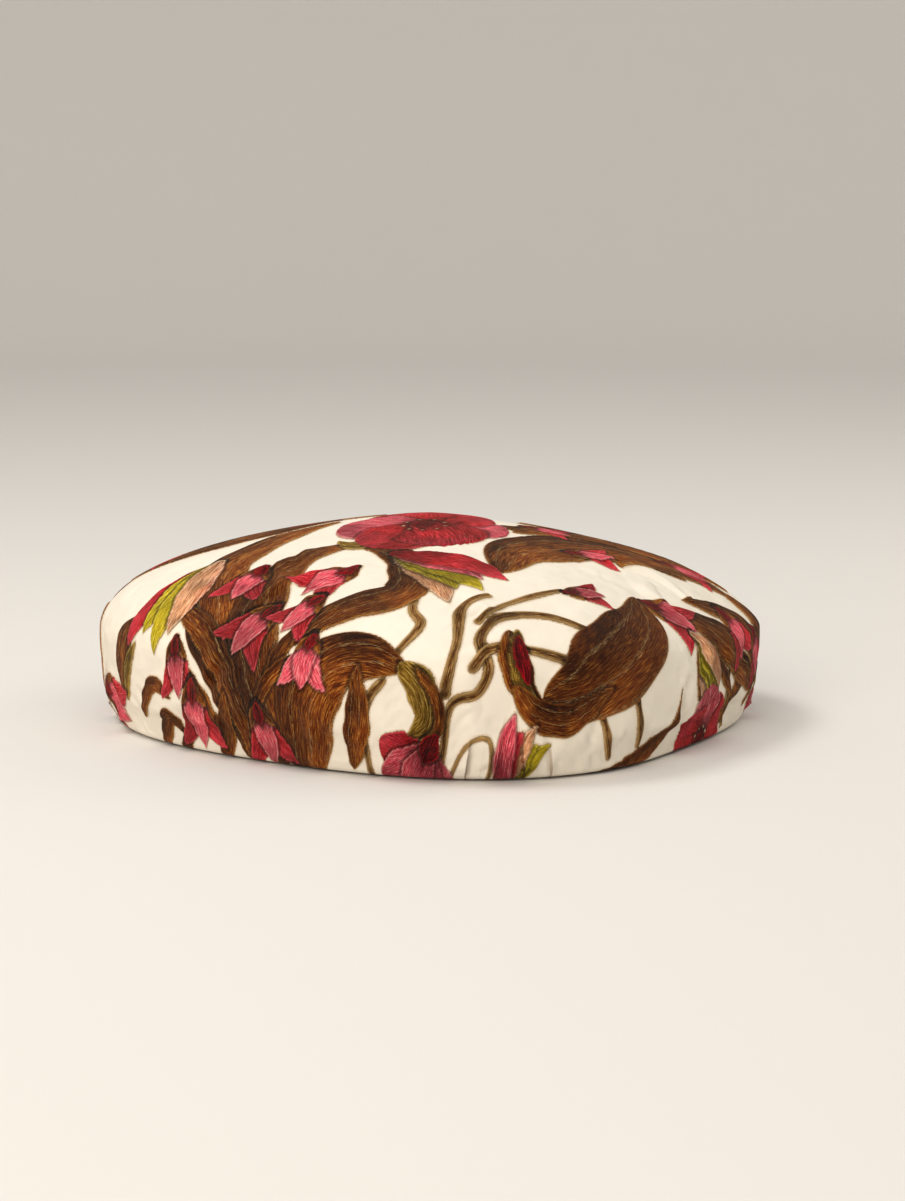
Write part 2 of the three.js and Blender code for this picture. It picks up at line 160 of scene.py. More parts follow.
class StudioLook(bpy.types.PropertyGroup):
    """Camera, floor and lights."""

    azimuth: FloatProperty(
        name="Azimuth", description="Camera's turn from straight in front",
        default=math.radians(34.93), subtype="ANGLE")
    elevation: FloatProperty(
        name="Elevation", description="Camera's tilt down", default=math.radians(9.1),
        subtype="ANGLE")
    distance: metres("Distance", "From the camera to the point it looks at", 2.435)
    lens: number("Lens", "Focal length in millimetres", 93.2)
    target: FloatVectorProperty(
        name="Target", description="Point that the camera looks at", size=3,
        default=(0.012, 0.0147, 0.0922), subtype="TRANSLATION")
    world_strength: number("World strength", "Brightness of the light from all round", 0.6)
    floor_colour: hex_colour("Floor", "Plain pale floor", "#DDDAD5")
    ceiling_power: number("Ceiling power", "Even light over the whole floor, in watts", 48.0)
    key_power: number("Key power", "Overhead soft box, in watts", 22.0)
    fill_power: number("Fill power", "Front fill, in watts", 72.0)
    rim_power: number("Rim power", "Rear soft light, in watts", 9.0)


def settings():
    """The pad's own settings in the scene."""
    return bpy.context.scene.seat_pad


class SeatPadSettings(bpy.types.PropertyGroup):
    """Everything that a maker would change."""

    shape: PointerProperty(type=PadShape)
    velvet: PointerProperty(type=VelvetCloth)
    inner: PointerProperty(type=InnerMakeup)
    studio: PointerProperty(type=StudioLook)


# ---- Colours and materials ---------------------------------------------------------------------

def linear(hex_code):
    """An sRGB hex colour as linear red, green, blue."""
    srgb = np.array([int(hex_code[i:i + 2], 16) for i in (1, 3, 5)]) / 255
    return np.where(srgb <= 0.04045, srgb / 12.92, ((srgb + 0.055) / 1.055) ** 2.4)


def rgba(hex_code):
    return (*linear(hex_code), 1.0)


def add_node(tree, kind, values=None, links=None, **attributes):
    """Adds a node, sets its attributes and input values, and links inputs to other sockets."""
    node = tree.nodes.new(kind)
    for key, value in attributes.items():
        setattr(node, key, value)
    for key, value in (values or {}).items():
        node.inputs[key].default_value = value
    for key, socket in (links or {}).items():
        tree.links.new(socket, node.inputs[key])
    return node


def new_material(name, roughness, metallic=0.0, sheen=0.0, sheen_roughness=0.5, specular=0.5):
    """An empty material with one Principled shader whose constants sit on its own sockets."""
    material = bpy.data.materials.new(name)
    material.use_nodes = True
    tree = material.node_tree
    tree.nodes.clear()
    values = {
        "Roughness": roughness,
        "Metallic": metallic,
        "Sheen Weight": sheen,
        "Sheen Roughness": sheen_roughness,
        "Specular IOR Level": specular,
    }
    shader = add_node(tree, "ShaderNodeBsdfPrincipled", values)
    add_node(tree, "ShaderNodeOutputMaterial", links={"Surface": shader.outputs[0]})
    return material, tree, shader


def ramp(tree, factor, stops):
    """A colour ramp through (place, hex colour) stops."""
    node = add_node(tree, "ShaderNodeValToRGB", links={"Fac": factor})
    elements = node.color_ramp.elements
    while len(elements) < len(stops):
        elements.new(0.5)
    for element, (place, hex_code) in zip(elements, stops):
        element.position = place
        element.color = rgba(hex_code)
    return node.outputs["Color"]


def bumped(tree, shader, height, distance):
    """Raises the surface by a height of 0 to 1 times a distance."""
    values = {"Distance": distance, "Strength": 1.0}
    node = add_node(tree, "ShaderNodeBump", values, {"Height": height})
    tree.links.new(node.outputs[0], shader.inputs["Normal"])


def noise(tree, places, scale, detail, **values):
    """A Noise texture's value, with its waves about 1 / scale of the places' unit apart."""
    values = {"Scale": scale, "Detail": detail, **values}
    return add_node(tree, "ShaderNodeTexNoise", values, {"Vector": places}).outputs["Fac"]


def stretched(tree, places, factors):
    """Places scaled along each axis, which draws a texture out along the smallest factor."""
    return add_node(tree, "ShaderNodeVectorMath", {1: factors}, {0: places},
                    operation="MULTIPLY").outputs[0]


def threads(tree, places, scale, distortion):
    """Crossed bands of warp and weft: 20 scale / TAU of each to the places' unit."""
    values = {"Scale": scale, "Distortion": distortion, "Detail": 1.0}
    return math_node(tree, "MULTIPLY", *(
        add_node(tree, "ShaderNodeTexWave", values, {"Vector": places},
                 bands_direction=direction).outputs["Fac"]
        for direction in ("X", "Y")
    ))


def object_places(tree):
    return add_node(tree, "ShaderNodeTexCoord").outputs["Object"]


def feed(tree, slots, terms):
    """Gives each input its term, which is a socket to link or a constant."""
    for slot, term in zip(slots, terms):
        if isinstance(term, bpy.types.NodeSocket):
            tree.links.new(term, slot)
        else:
            slot.default_value = term


def math_node(tree, operation, *terms):
    """A Math node whose terms are numbers or sockets."""
    node = add_node(tree, "ShaderNodeMath", operation=operation)
    feed(tree, node.inputs, terms)
    return node.outputs[0]


def mixed(tree, factor, first, second, blend="MIX"):
    """A colour Mix node whose two colours are sockets or linear colours."""
    node = add_node(tree, "ShaderNodeMix", data_type="RGBA", blend_type=blend)
    factor_slot, first_colour, second_colour = 0, 6, 7
    slots = [node.inputs[i] for i in (factor_slot, first_colour, second_colour)]
    feed(tree, slots, (factor, first, second))
    return node.outputs[2]


def cut_velvet_material(cloth):
    """Cut velvet: viscose pile on a flat cotton ground. The pile drinks light, shows streaks along
    each petal and leaf, and glows softly at grazing angles; the ground is flat and plain."""
    material, tree, shader = new_material("cut_velvet", 0.85, sheen=0.07, sheen_roughness=0.35,
                                          specular=0.1)
    shader.inputs["Sheen Tint"].default_value = (1.0, 0.78, 0.56, 1.0)

    def attribute(name, output):
        return add_node(tree, "ShaderNodeAttribute", attribute_name=name).outputs[output]

    def fitted(value, low, high, to_low=0.0, to_high=1.0, kind="SMOOTHSTEP"):
        span = {"From Min": low, "From Max": high, "To Min": to_low, "To Max": to_high}
        node = add_node(tree, "ShaderNodeMapRange", span, {"Value": value},
                        interpolation_type=kind)
        return node.outputs[0]

    def streaked(along, across, detail):
        scaled = stretched(tree, attribute("flow", "Vector"), (along, across, 1.0))
        return noise(tree, scaled, 5.0, detail, Roughness=0.6)

    def dimmed(colour, share):
        return add_node(tree, "ShaderNodeVectorMath", links={0: colour, "Scale": share},
                        operation="SCALE").outputs[0]

    places = object_places(tree)
    ink = attribute("ink", "Color")
    glow, vein_strength = attribute("glow", "Color"), attribute("glow", "Alpha")
    brush = add_node(tree, "ShaderNodeSeparateXYZ", links={0: attribute("brush", "Vector")})
    inside, sideways = brush.outputs["X"], brush.outputs["Y"]
    # The tufts at a motif's edge are about 1 mm apart, so its outline is fuzzy by that much.
    tufts = noise(tree, places, 850.0, 2.0)
    ragged = math_node(tree, "MULTIPLY_ADD", tufts, 2.4, -1.2)
    mask = fitted(math_node(tree, "ADD", attribute("pile", "Fac"), ragged), -0.35, 0.35)
    # Streaks run along each motif: wide ones 0.6 mm across and 12 mm long, fine ones under half.
    wide = streaked(0.017, 0.32, 3.0)
    fine = streaked(0.04, 0.85, 2.0)
    streaks = math_node(tree, "MULTIPLY_ADD", wide, 0.66, math_node(tree, "MULTIPLY", fine, 0.34))
    # The streaks are the pile's own lay; their lighter glow colour is painted sheen, and the
    # darkening between them is painted shade.
    lit = fitted(streaks, 0.51, 0.62)
    # Painted sheen: where the pile was brushed the other way it is painted darker or lighter, 40 mm
    # at a time, as it catches the light differently.
    painted_sheen_patches = noise(tree, places, 24.0, 2.0)
    shade = math_node(tree, "MULTIPLY", fitted(streaks, 0.40, 0.52, 0.26, 1.05),
                      fitted(painted_sheen_patches, 0.36, 0.64, 0.6, 1.35))
    pile = mixed(tree, math_node(tree, "MULTIPLY", lit, 0.85), ink, glow)
    # Veins are long uncut loops that run from base to tip.
    wander = math_node(tree, "MULTIPLY_ADD", wide, 0.6, math_node(tree, "MULTIPLY", sideways, 1.4))
    line = math_node(tree, "MULTIPLY", fitted(math_node(tree, "PINGPONG", wander, 0.5), 0.045, 0.01),
                     fitted(fine, 0.46, 0.56))
    vein = math_node(tree, "MULTIPLY", line, vein_strength)
    # Painted highlight: a motif's fuzzy edge is painted in its lighter glow colour, where the edge
    # pile catches the light.
    painted_edge_highlight = fitted(math_node(tree, "ADD", inside, ragged), 1.9, 0.5, 0.0, 0.62)
    pile = mixed(tree, painted_edge_highlight, dimmed(pile, shade), glow)
    pile = mixed(tree, vein, pile, (*linear(cloth.vein), 1))
    pile = dimmed(pile, fitted(tufts, 0.3, 0.7, 0.84, 1.16, kind="LINEAR"))
    # The ground's threads are drawn 1.2 mm apart so that they show.
    weave = threads(tree, attribute("cloth", "Vector"), 0.26, 1.0)
    slub = noise(tree, places, 35.0, 3.0)
    ivory = linear(cloth.ivory)
    ground = mixed(tree, weave, (*ivory * 0.93, 1), (*ivory, 1))
    ground = dimmed(ground, fitted(slub, 0.2, 0.8, 0.94, 1.04, kind="LINEAR"))
    # Tufts shade the ground beside them.
    near_tufts = fitted(math_node(tree, "ADD", attribute("pile", "Fac"), ragged), -2.2, -0.2,
                        0.0, 0.55)
    ground = mixed(tree, near_tufts, ground, (*linear(cloth.stem_edge), 1))
    colour = mixed(tree, mask, ground, pile)
    # A pleat's fold is a thin shaded line with a soft shadow on the side that is tucked under.
    fold = add_node(tree, "ShaderNodeSeparateXYZ", links={0: attribute("fold", "Vector")})
    past, depth = fold.outputs["X"], fold.outputs["Y"]
    line = fitted(math_node(tree, "ABSOLUTE", past), 1.1, 0.2, 0.0, 0.8)
    tucked = math_node(tree, "MULTIPLY", fitted(past, -5.0, 0.0, 0.0, 0.35),
                       math_node(tree, "LESS_THAN", past, 0.0))
    dark = math_node(tree, "MULTIPLY", math_node(tree, "MAXIMUM", line, tucked), depth)
    colour = mixed(tree, dark, colour, (*linear(cloth.fold_shadow), 1), "MULTIPLY")
    tree.links.new(colour, shader.inputs["Base Color"])
    tuft_height = math_node(tree, "MULTIPLY", math_node(tree, "ADD", streaks, tufts), mask)
    weave_height = math_node(tree, "MULTIPLY", weave, 0.1)
    # The backing puckers between the motifs, about 15 mm from crest to crest.
    pucker = noise(tree, places, 65.0, 1.0)
    backing = math_node(tree, "MULTIPLY_ADD", pucker, 1.6, weave_height)
    height = math_node(tree, "ADD", math_node(tree, "ADD", mask, tuft_height), backing)
    bumped(tree, shader, height, 0.0014)
    return material


def woven_material(name, light, dark, thread_mm, roughness):
    """Plain-woven cloth: threads crossing at a real pitch, with slubs."""
    material, tree, shader = new_material(name, roughness, sheen=0.1, specular=0.2)
    places = object_places(tree)
    weave = threads(tree, places, TAU / 20 / (thread_mm * MM), 1.2)
    tone = math_node(tree, "MULTIPLY", weave, noise(tree, places, 90.0, 4.0))
    colour = ramp(tree, tone, [(0.0, dark), (0.45, light)])
    tree.links.new(colour, shader.inputs["Base Color"])
    bumped(tree, shader, weave, 0.3 * thread_mm * MM)
    return material


def foam_material(name, light, dark):
    """Open-cell polyurethane foam: cut faces with cells about 1.4 mm across, dead matt."""
    material, tree, shader = new_material(name, 0.95, specular=0.15)
    places = object_places(tree)
    cells = add_node(tree, "ShaderNodeTexVoronoi", {"Scale": 700.0}, {"Vector": places})
    colour = ramp(tree, cells.outputs["Distance"], [(0.05, light), (0.75, dark)])
    tree.links.new(colour, shader.inputs["Base Color"])
    bumped(tree, shader, cells.outputs["Distance"], 0.0008)
    return material


def wadding_material():
    """Polyester wadding: tangled bright fibres with a soft halo."""
    material, tree, shader = new_material("polyester_wadding", 0.9, sheen=0.6, specular=0.2)
    tangle = noise(tree, object_places(tree), 160.0, 8.0, Roughness=0.75, Distortion=1.5)
    colour = ramp(tree, tangle, [(0.3, "#D9D8D2"), (0.6, "#F7F6F2")])
    tree.links.new(colour, shader.inputs["Base Color"])
    bumped(tree, shader, tangle, 0.002)
    return material


def timber_material(name, light, dark, axis, ring_mm=4.5):
    """Sawn and planed hardwood: growth rings along the grain, short dark flecks, no varnish."""
    material, tree, shader = new_material(name, 0.6, specular=0.35)
    factors = {"X": (0.03, 0.5, 1.5), "Y": (0.5, 0.03, 1.5)}[axis]
    grain = stretched(tree, object_places(tree), factors)
    rings = noise(tree, grain, 1 / (ring_mm * MM), 5.0, Roughness=0.6)
    flecks = noise(tree, grain, 1400.0, 2.0)
    tone = math_node(tree, "MULTIPLY_ADD", flecks, 0.35, math_node(tree, "MULTIPLY", rings, 0.65))
    colour = ramp(tree, tone, [(0.35, dark), (0.62, light)])
    tree.links.new(colour, shader.inputs["Base Color"])
    bumped(tree, shader, flecks, 0.0002)
    return material


def plywood_material():
    """Birch plywood: 1.5 mm veneers laid across each other, which show as stripes on the edges."""
    material, tree, shader = new_material("birch_plywood", 0.62, specular=0.35)
    places = object_places(tree)
    height = add_node(tree, "ShaderNodeSeparateXYZ", links={0: places}).outputs["Z"]
    veneer = 1.5 * MM
    layer = math_node(tree, "PINGPONG", height, veneer)
    stripe = math_node(tree, "GREATER_THAN", layer, veneer / 2)
    fibre = noise(tree, stretched(tree, places, (0.06, 1.0, 1.0)), 420.0, 4.0)
    tone = math_node(tree, "MULTIPLY_ADD", stripe, 0.3, math_node(tree, "MULTIPLY", fibre, 0.7))
    colour = ramp(tree, tone, [(0.25, "#9A7344"), (0.7, "#E3C697")])
    tree.links.new(colour, shader.inputs["Base Color"])
    bumped(tree, shader, fibre, 0.0002)
    return material


def steel_material(name, dark, light, roughness):
    """Small steel fixings: cloudy plating or bluing over a faint drawn grain."""
    material, tree, shader = new_material(name, roughness, metallic=1.0)
    cloud = noise(tree, object_places(tree), 220.0, 5.0)
    tree.links.new(ramp(tree, cloud, [(0.3, dark), (0.7, light)]), shader.inputs["Base Color"])
    spread = {"To Min": roughness - 0.08, "To Max": roughness + 0.14}
    rough = add_node(tree, "ShaderNodeMapRange", spread, {"Value": cloud}).outputs[0]
    tree.links.new(rough, shader.inputs["Roughness"])
    return material


# ---- The pad's surface -------------------------------------------------------------------------

# Steps along a meridian: over the dome, down the side, round the bottom edge and in to the hem
DOME_STEPS, SIDE_STEPS, TURN_STEPS, HEM_STEPS = 400, 120, 20, 30


def eased(value):
    """A smooth step from 0 to 1."""
    value = np.clip(value, 0, 1)
    return value ** 2 * (3 - 2 * value)


def signed_power(value, power):
    return np.sign(value) * np.abs(value) ** power


def rear_share(shape, angle):
    """0 at the front, 1 at the rear, and a smooth change between."""
    return (1 + np.tanh(np.sin(angle) / shape.squareness_blend)) / 2


def plain_outline(shape, angle, half_width):
    """A superellipse that is squarer and narrower towards the rear."""
    depth = COVER_HIGH[1] - COVER_LOW[1]
    change = shape.rear_squareness - shape.front_squareness
    power = 2 / (shape.front_squareness + change * rear_share(shape, angle))
    y = signed_power(np.sin(angle), power) * depth / 2
    taper = 1 - shape.rear_taper * (y / depth + 0.5)
    return np.stack([signed_power(np.cos(angle), power) * half_width * taper, y], -1)


class PadOutline:
    """The outline at the widest level, with stations at equal distances round it."""

    STATIONS = 720

    def __init__(self, shape):
        fine_steps, tangent_step = 4001, 0.01
        fine = np.linspace(0, TAU, fine_steps)
        width = COVER_HIGH[0] - COVER_LOW[0]
        self.half_width = width / 2 / plain_outline(shape, fine, 1.0)[:, 0].max()
        walk = plain_outline(shape, fine, self.half_width)
        run = np.r_[0, np.cumsum(np.linalg.norm(np.diff(walk, axis=0), axis=1))]
        self.length = run[-1]
        self.angles = np.interp(np.arange(self.STATIONS) * run[-1] / self.STATIONS, run, fine)
        self.points = plain_outline(shape, self.angles, self.half_width)
        ahead, behind = (plain_outline(shape, self.angles + step, self.half_width)
                         for step in (tangent_step, -tangent_step))
        tangents = ahead - behind
        tangents /= np.linalg.norm(tangents, axis=1, keepdims=True)
        self.normals = np.stack([tangents[:, 1], -tangents[:, 0]], -1)

    def inset(self, depth):
        """The outline moved in by a depth."""
        return self.points - self.normals * depth


def tuck_at(shape, z):
    """How far the side is drawn in at a height."""
    below = np.clip(1 - z / shape.widest_height, 0, None)
    return shape.bottom_tuck * below ** 2


def meridians(shape, outline, depth, foot, turn=0.0, hem=None):
    """Points down the pad from its top at every station, a depth below its outer face. They end at
    the foot, or with a turn under the bottom edge and a return in to the hem's inset."""
    share = np.sin(np.linspace(0, math.pi / 2, DOME_STEPS))
    full = shape.front_fullness + (shape.rear_fullness - shape.front_fullness) * rear_share(
        shape, outline.angles)
    rise = CAD_HIGH[2] - depth - shape.widest_height
    bend = np.clip(1 - share ** shape.dome_shoulder, 0, None)
    dome_z = shape.widest_height + rise * bend[None] ** (1 / full[:, None])
    dome_xy = outline.inset(depth)[:, None] * share[None, :, None]
    dome = np.concatenate([dome_xy, dome_z[..., None]], -1)
    side_z = np.linspace(shape.widest_height, foot + turn, SIDE_STEPS)[1:]
    side_inset = depth + tuck_at(shape, side_z)
    if hem is not None:
        bend = np.linspace(0, math.pi / 2, TURN_STEPS)[1:]
        turned = side_inset[-1] + turn * (1 - np.cos(bend))
        home = np.linspace(turned[-1], hem, HEM_STEPS)[1:]
        side_z = np.r_[side_z, foot + turn * (1 - np.sin(bend)), np.full(home.size, foot)]
        side_inset = np.r_[side_inset, turned, home]
    side_xy = outline.points[:, None] - outline.normals[:, None] * side_inset[None, :, None]
    tall = np.broadcast_to(side_z[None, :, None], (len(side_xy), side_z.size, 1))
    return np.concatenate([dome, np.concatenate([side_xy, tall], -1)], 1)


def resample(lines, lengths, wanted):
    """Points along each line at the wanted distances."""
    return np.stack([
        np.stack([np.interp(want, length, line[:, axis]) for axis in range(line.shape[1])], -1)
        for line, length, want in zip(lines, lengths, wanted)
    ])


def ring_table(shape, outline, rings, return_rings=0, **profile):
    """Every station's meridian as evenly spaced rings, with each point's place on the flat cloth."""
    lines = meridians(shape, outline, **profile)
    steps = np.linalg.norm(np.diff(lines, axis=1), axis=2)
    lengths = np.concatenate([np.zeros((len(lines), 1)), np.cumsum(steps, 1)], 1)
    edge = lengths[:, DOME_STEPS - 1]
    end = lengths[:, -1]
    turn = lengths[:, -HEM_STEPS - TURN_STEPS // 2] if return_rings else end
    down = np.linspace(0, 1, rings - return_rings + 1)
    back = np.linspace(0, 1, return_rings + 1)[1:]
    wanted = np.concatenate([turn[:, None] * down, turn[:, None] + (end - turn)[:, None] * back], 1)
    points = resample(lines, lengths, wanted)
    outward = outline.points / np.linalg.norm(outline.points, axis=1, keepdims=True)
    on_dome = np.minimum(wanted, edge[:, None])
    cloth = outward[:, None] * on_dome[..., None]
    cloth = cloth + outline.normals[:, None] * (wanted - on_dome)[..., None]
    return points, cloth


def disc_grid(rings):
    """A square grid bent into a disc: ring k has 8k points. Gives each point's ring and turn."""
    steps = np.arange(-rings, rings + 1)
    x, y = np.meshgrid(steps, steps, indexing="ij")
    wide = np.abs(x) >= np.abs(y)
    with np.errstate(divide="ignore", invalid="ignore"):
        turn = np.where(wide, y / x, 2 - x / y) * math.pi / 4
    turn = np.where((wide & (x < 0)) | (~wide & (y < 0)), turn + math.pi, turn)
    turn[rings, rings] = 0
    return np.maximum(np.abs(x), np.abs(y)), np.mod(turn, TAU)


def from_table(table, ring, turn):
    """Looks up ring and turn in a table of stations by rings."""
    place = turn / TAU * len(table)
    low = np.floor(place).astype(int)
    part = (place - low)[..., None]
    return table[low % len(table), ring] * (1 - part) + table[(low + 1) % len(table), ring] * part


def grid_normals(points):
    """Unit normals of a square grid of points, out of the pad."""
    along = np.gradient(points, axis=0)
    across = np.gradient(points, axis=1)
    normals = np.cross(along, across)
    return normals / np.linalg.norm(normals, axis=-1, keepdims=True)


def placed(name, data):
    """A new object in the scene that shows a mesh, a light or a camera."""
    piece = bpy.data.objects.new(name, data)
    bpy.context.scene.collection.objects.link(piece)
    return piece


def new_mesh(name, points, faces):
    """A smooth mesh from arrays, or from lists when its faces have different numbers of corners."""
    points, faces = (x.tolist() if isinstance(x, np.ndarray) else x for x in (points, faces))
    mesh = bpy.data.meshes.new(name)
    mesh.from_pydata(points, [], faces)
    mesh.validate()
    mesh.shade_smooth()
    return placed(name, mesh)


def grid_quads(index):
    """The quads between neighbouring points of a grid of point numbers."""
    quads = np.stack([index[:-1, :-1], index[1:, :-1], index[1:, 1:], index[:-1, 1:]], -1)
    return quads.reshape(-1, 4)


def grid_mesh(name, points):
    """A mesh of quads over a grid of points."""
    index = np.arange(points[..., 0].size).reshape(points.shape[:2])
    return new_mesh(name, points.reshape(-1, 3), grid_quads(index))


def closed_sheet(name, outer, inner):
    """A thin closed mesh between two grids of the same size."""
    count = outer[..., 0].size
    index = np.arange(count).reshape(outer.shape[:2])
    quads = grid_quads(index)
    painted_edge_highlight = np.concatenate([index[0, :-1], index[:-1, -1], index[-1, :0:-1], index[:0:-1, 0]])
    after = np.roll(painted_edge_highlight, -1)
    edge = np.stack([painted_edge_highlight, after, after + count, painted_edge_highlight + count], -1)
    points = np.concatenate([outer.reshape(-1, 3), inner.reshape(-1, 3)])
    piece = new_mesh(name, points, np.concatenate([quads, quads[:, ::-1] + count, edge]))
    make_outward(piece)
    return piece


def make_outward(piece):
    """Turns a closed mesh's faces outward."""
    bm = bmesh.new()
    bm.from_mesh(piece.data)
    bmesh.ops.recalc_face_normals(bm, faces=bm.faces)
    bm.to_mesh(piece.data)
    bm.free()


def apply_modifiers(piece):
    """Bakes a piece's modifiers into its mesh."""
    graph = bpy.context.evaluated_depsgraph_get()
    baked = bpy.data.meshes.new_from_object(piece.evaluated_get(graph))
    piece.modifiers.clear()
    old = piece.data
    piece.data = baked
    bpy.data.meshes.remove(old)


def finish_piece(piece, material, slot, *nodes):
    """Gives a new piece its finish and its body, and hides the CAD nodes that it stands for."""
    piece.data.materials.clear()
    piece.data.materials.append(material)
    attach(piece, "root")
    if nodes:
        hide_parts(*nodes)


def set_attribute(mesh, name, kind, values):
    attribute = mesh.attributes.new(name, kind, "POINT")
    field = {"FLOAT": "value", "FLOAT_VECTOR": "vector", "FLOAT_COLOR": "color"}[kind]
    attribute.data.foreach_set(field, np.ascontiguousarray(values, dtype=np.float32).ravel())


# ---- The velvet's motifs, in millimetres on the flat cloth -------------------------------------

def catmull_rom(a, b, c, d, t):
    """A smooth curve from b to c as t goes from 0 to 1, with a and d on either side."""
    return 0.5 * (2 * b + (c - a) * t + (2 * a - 5 * b + 4 * c - d) * t ** 2
                  + (3 * b - a - 3 * c + d) * t ** 3)


def smooth_path(points, pieces=10):
    """A curve through every point."""
    points = np.array(points, dtype=float)
    if len(points) == 2:
        return points[0] + (points[1] - points[0]) * np.linspace(0, 1, pieces + 1)[:, None]
    ends = np.vstack([2 * points[0] - points[1], points, 2 * points[-1] - points[-2]])
    t = np.linspace(0, 1, pieces, endpoint=False)[:, None]
    curve = [catmull_rom(*four, t) for four in zip(ends, ends[1:], ends[2:], ends[3:])]
    return np.vstack([*curve, points[-1:]])


# Half-width along a stroke, as a share of its greatest, from base (0) to tip (1)
PROFILES = {
    "stem": lambda s: 0.85 + 0.15 * np.cos(9 * s),
    "leaf": lambda s: np.sin(math.pi * np.clip(s, 0, 1) ** 0.85) ** 0.75,
    "petal": lambda s: np.sin(math.pi * np.clip(0.1 + 0.9 * s, 0, 1)) ** 0.85,
    "round": lambda s: np.sqrt(np.clip(1 - np.clip((s - 0.45) / 0.55, 0, 1) ** 2, 0, 1))
    * (0.35 + 0.65 * np.minimum(1, s / 0.4)),
}


class Stroke:
    """One brush mark of pile: a path, a half-width and a dye."""

    def __init__(self, profile, dye, points, half_width):
        self.profile, self.dye, self.half_width = profile, dye, half_width
        self.path = smooth_path(points)


def half_turned(stroke, pivot):
    """The same stroke turned half round a pivot: the pattern's repeat."""
    copy = Stroke.__new__(Stroke)
    copy.profile, copy.dye, copy.half_width = stroke.profile, stroke.dye, stroke.half_width
    copy.path = 2 * np.array(pivot, dtype=float) - stroke.path
    return copy


def heading(x, y, degrees, length):
    """The place at a distance and a direction from x, y."""
    turn = math.radians(degrees)
    return (x + length * math.cos(turn), y + length * math.sin(turn))


def tulip(x, y, degrees, length, dye="crimson"):
    """A nodding bud: two side petals that open and a middle one over them, from a dark cup."""
    start = (x, y)
    strokes = []
    for side in (-1, 1):
        waist = heading(x, y, degrees + side * 16, 0.55 * length)
        tip = heading(x, y, degrees + side * 30, length)
        strokes.append(Stroke("petal", dye, [start, waist, tip], 0.19 * length))
    strokes.append(Stroke("petal", "pink" if dye == "crimson" else dye,
                          [start, heading(x, y, degrees, 0.9 * length)], 0.2 * length))
    for side in (-1, 1):
        sepal = heading(x, y, degrees + side * 40, 0.42 * length)
        strokes.append(Stroke("petal", "leaf", [start, sepal], 0.07 * length))
    cup = heading(x, y, degrees, 0.3 * length)
    strokes.append(Stroke("petal", "crimson_dark", [start, cup], 0.1 * length))
    return strokes


def bud(x, y, degrees, length, dyes):
    """A closed bud of long sepals, one beside another."""
    spread = 34 / max(1, len(dyes) - 1)
    strokes = []
    for i, dye in enumerate(dyes):
        turn = degrees - 17 + i * spread
        middle = heading(x, y, turn + 6, 0.55 * length)
        reach = length * (0.86 if i % 2 else 1.0)
        strokes.append(Stroke("petal", dye, [(x, y), middle, heading(x, y, turn, reach)],
                              0.15 * length))
    return strokes


def blossom(x, y, degrees, length):
    """A flower seen from its side: a fan of ragged petals, pale ones in front."""
    strokes = []
    for turn, share, dye in ((-64, 0.8, "crimson"), (64, 0.8, "pink"), (-34, 0.95, "pink"),
                             (36, 0.95, "pink"), (2, 1.0, "pink")):
        middle = heading(x, y, degrees + 0.7 * turn, 0.5 * share * length)
        tip = heading(x, y, degrees + turn, share * length)
        strokes.append(Stroke("round", dye, [(x, y), middle, tip], 0.3 * length))
    cup = heading(x, y, degrees + 180, 0.2 * length)
    strokes.append(Stroke("petal", "crimson_dark", [cup, heading(*cup, degrees, 0.42 * length)],
                          0.16 * length))
    return strokes


def poppy(x, y, radius, turn):
    """An open flower: broad overlapping petals round a dark eye with a ring of stamens."""
    strokes = []
    for i in range(6):
        degrees = turn + 60 * i
        reach = radius * (1 + 0.09 * math.sin(2.3 * i))
        dye = "crimson" if i % 3 else "pink"
        path = [(x, y), heading(x, y, degrees + 8, 0.5 * reach), heading(x, y, degrees, reach)]
        strokes.append(Stroke("round", dye, path, 0.56 * radius))
    strokes.append(Stroke("round", "crimson_dark",
                          [heading(x, y, turn, -0.1 * radius), heading(x, y, turn, 0.12 * radius)],
                          0.17 * radius))
    for i in range(9):
        seed = heading(x, y, turn + 40 * i, 0.24 * radius)
        strokes.append(Stroke("round", "peach", [seed, heading(*seed, turn + 40 * i, 2)], 1.5))
    return strokes


def brush_marks(dye, marks):
    """Stems or leaves of one dye, each from its half-width and its points."""
    profile = "stem" if dye == "stem" else "leaf"
    return [Stroke(profile, dye, points, half_width) for half_width, points in marks]


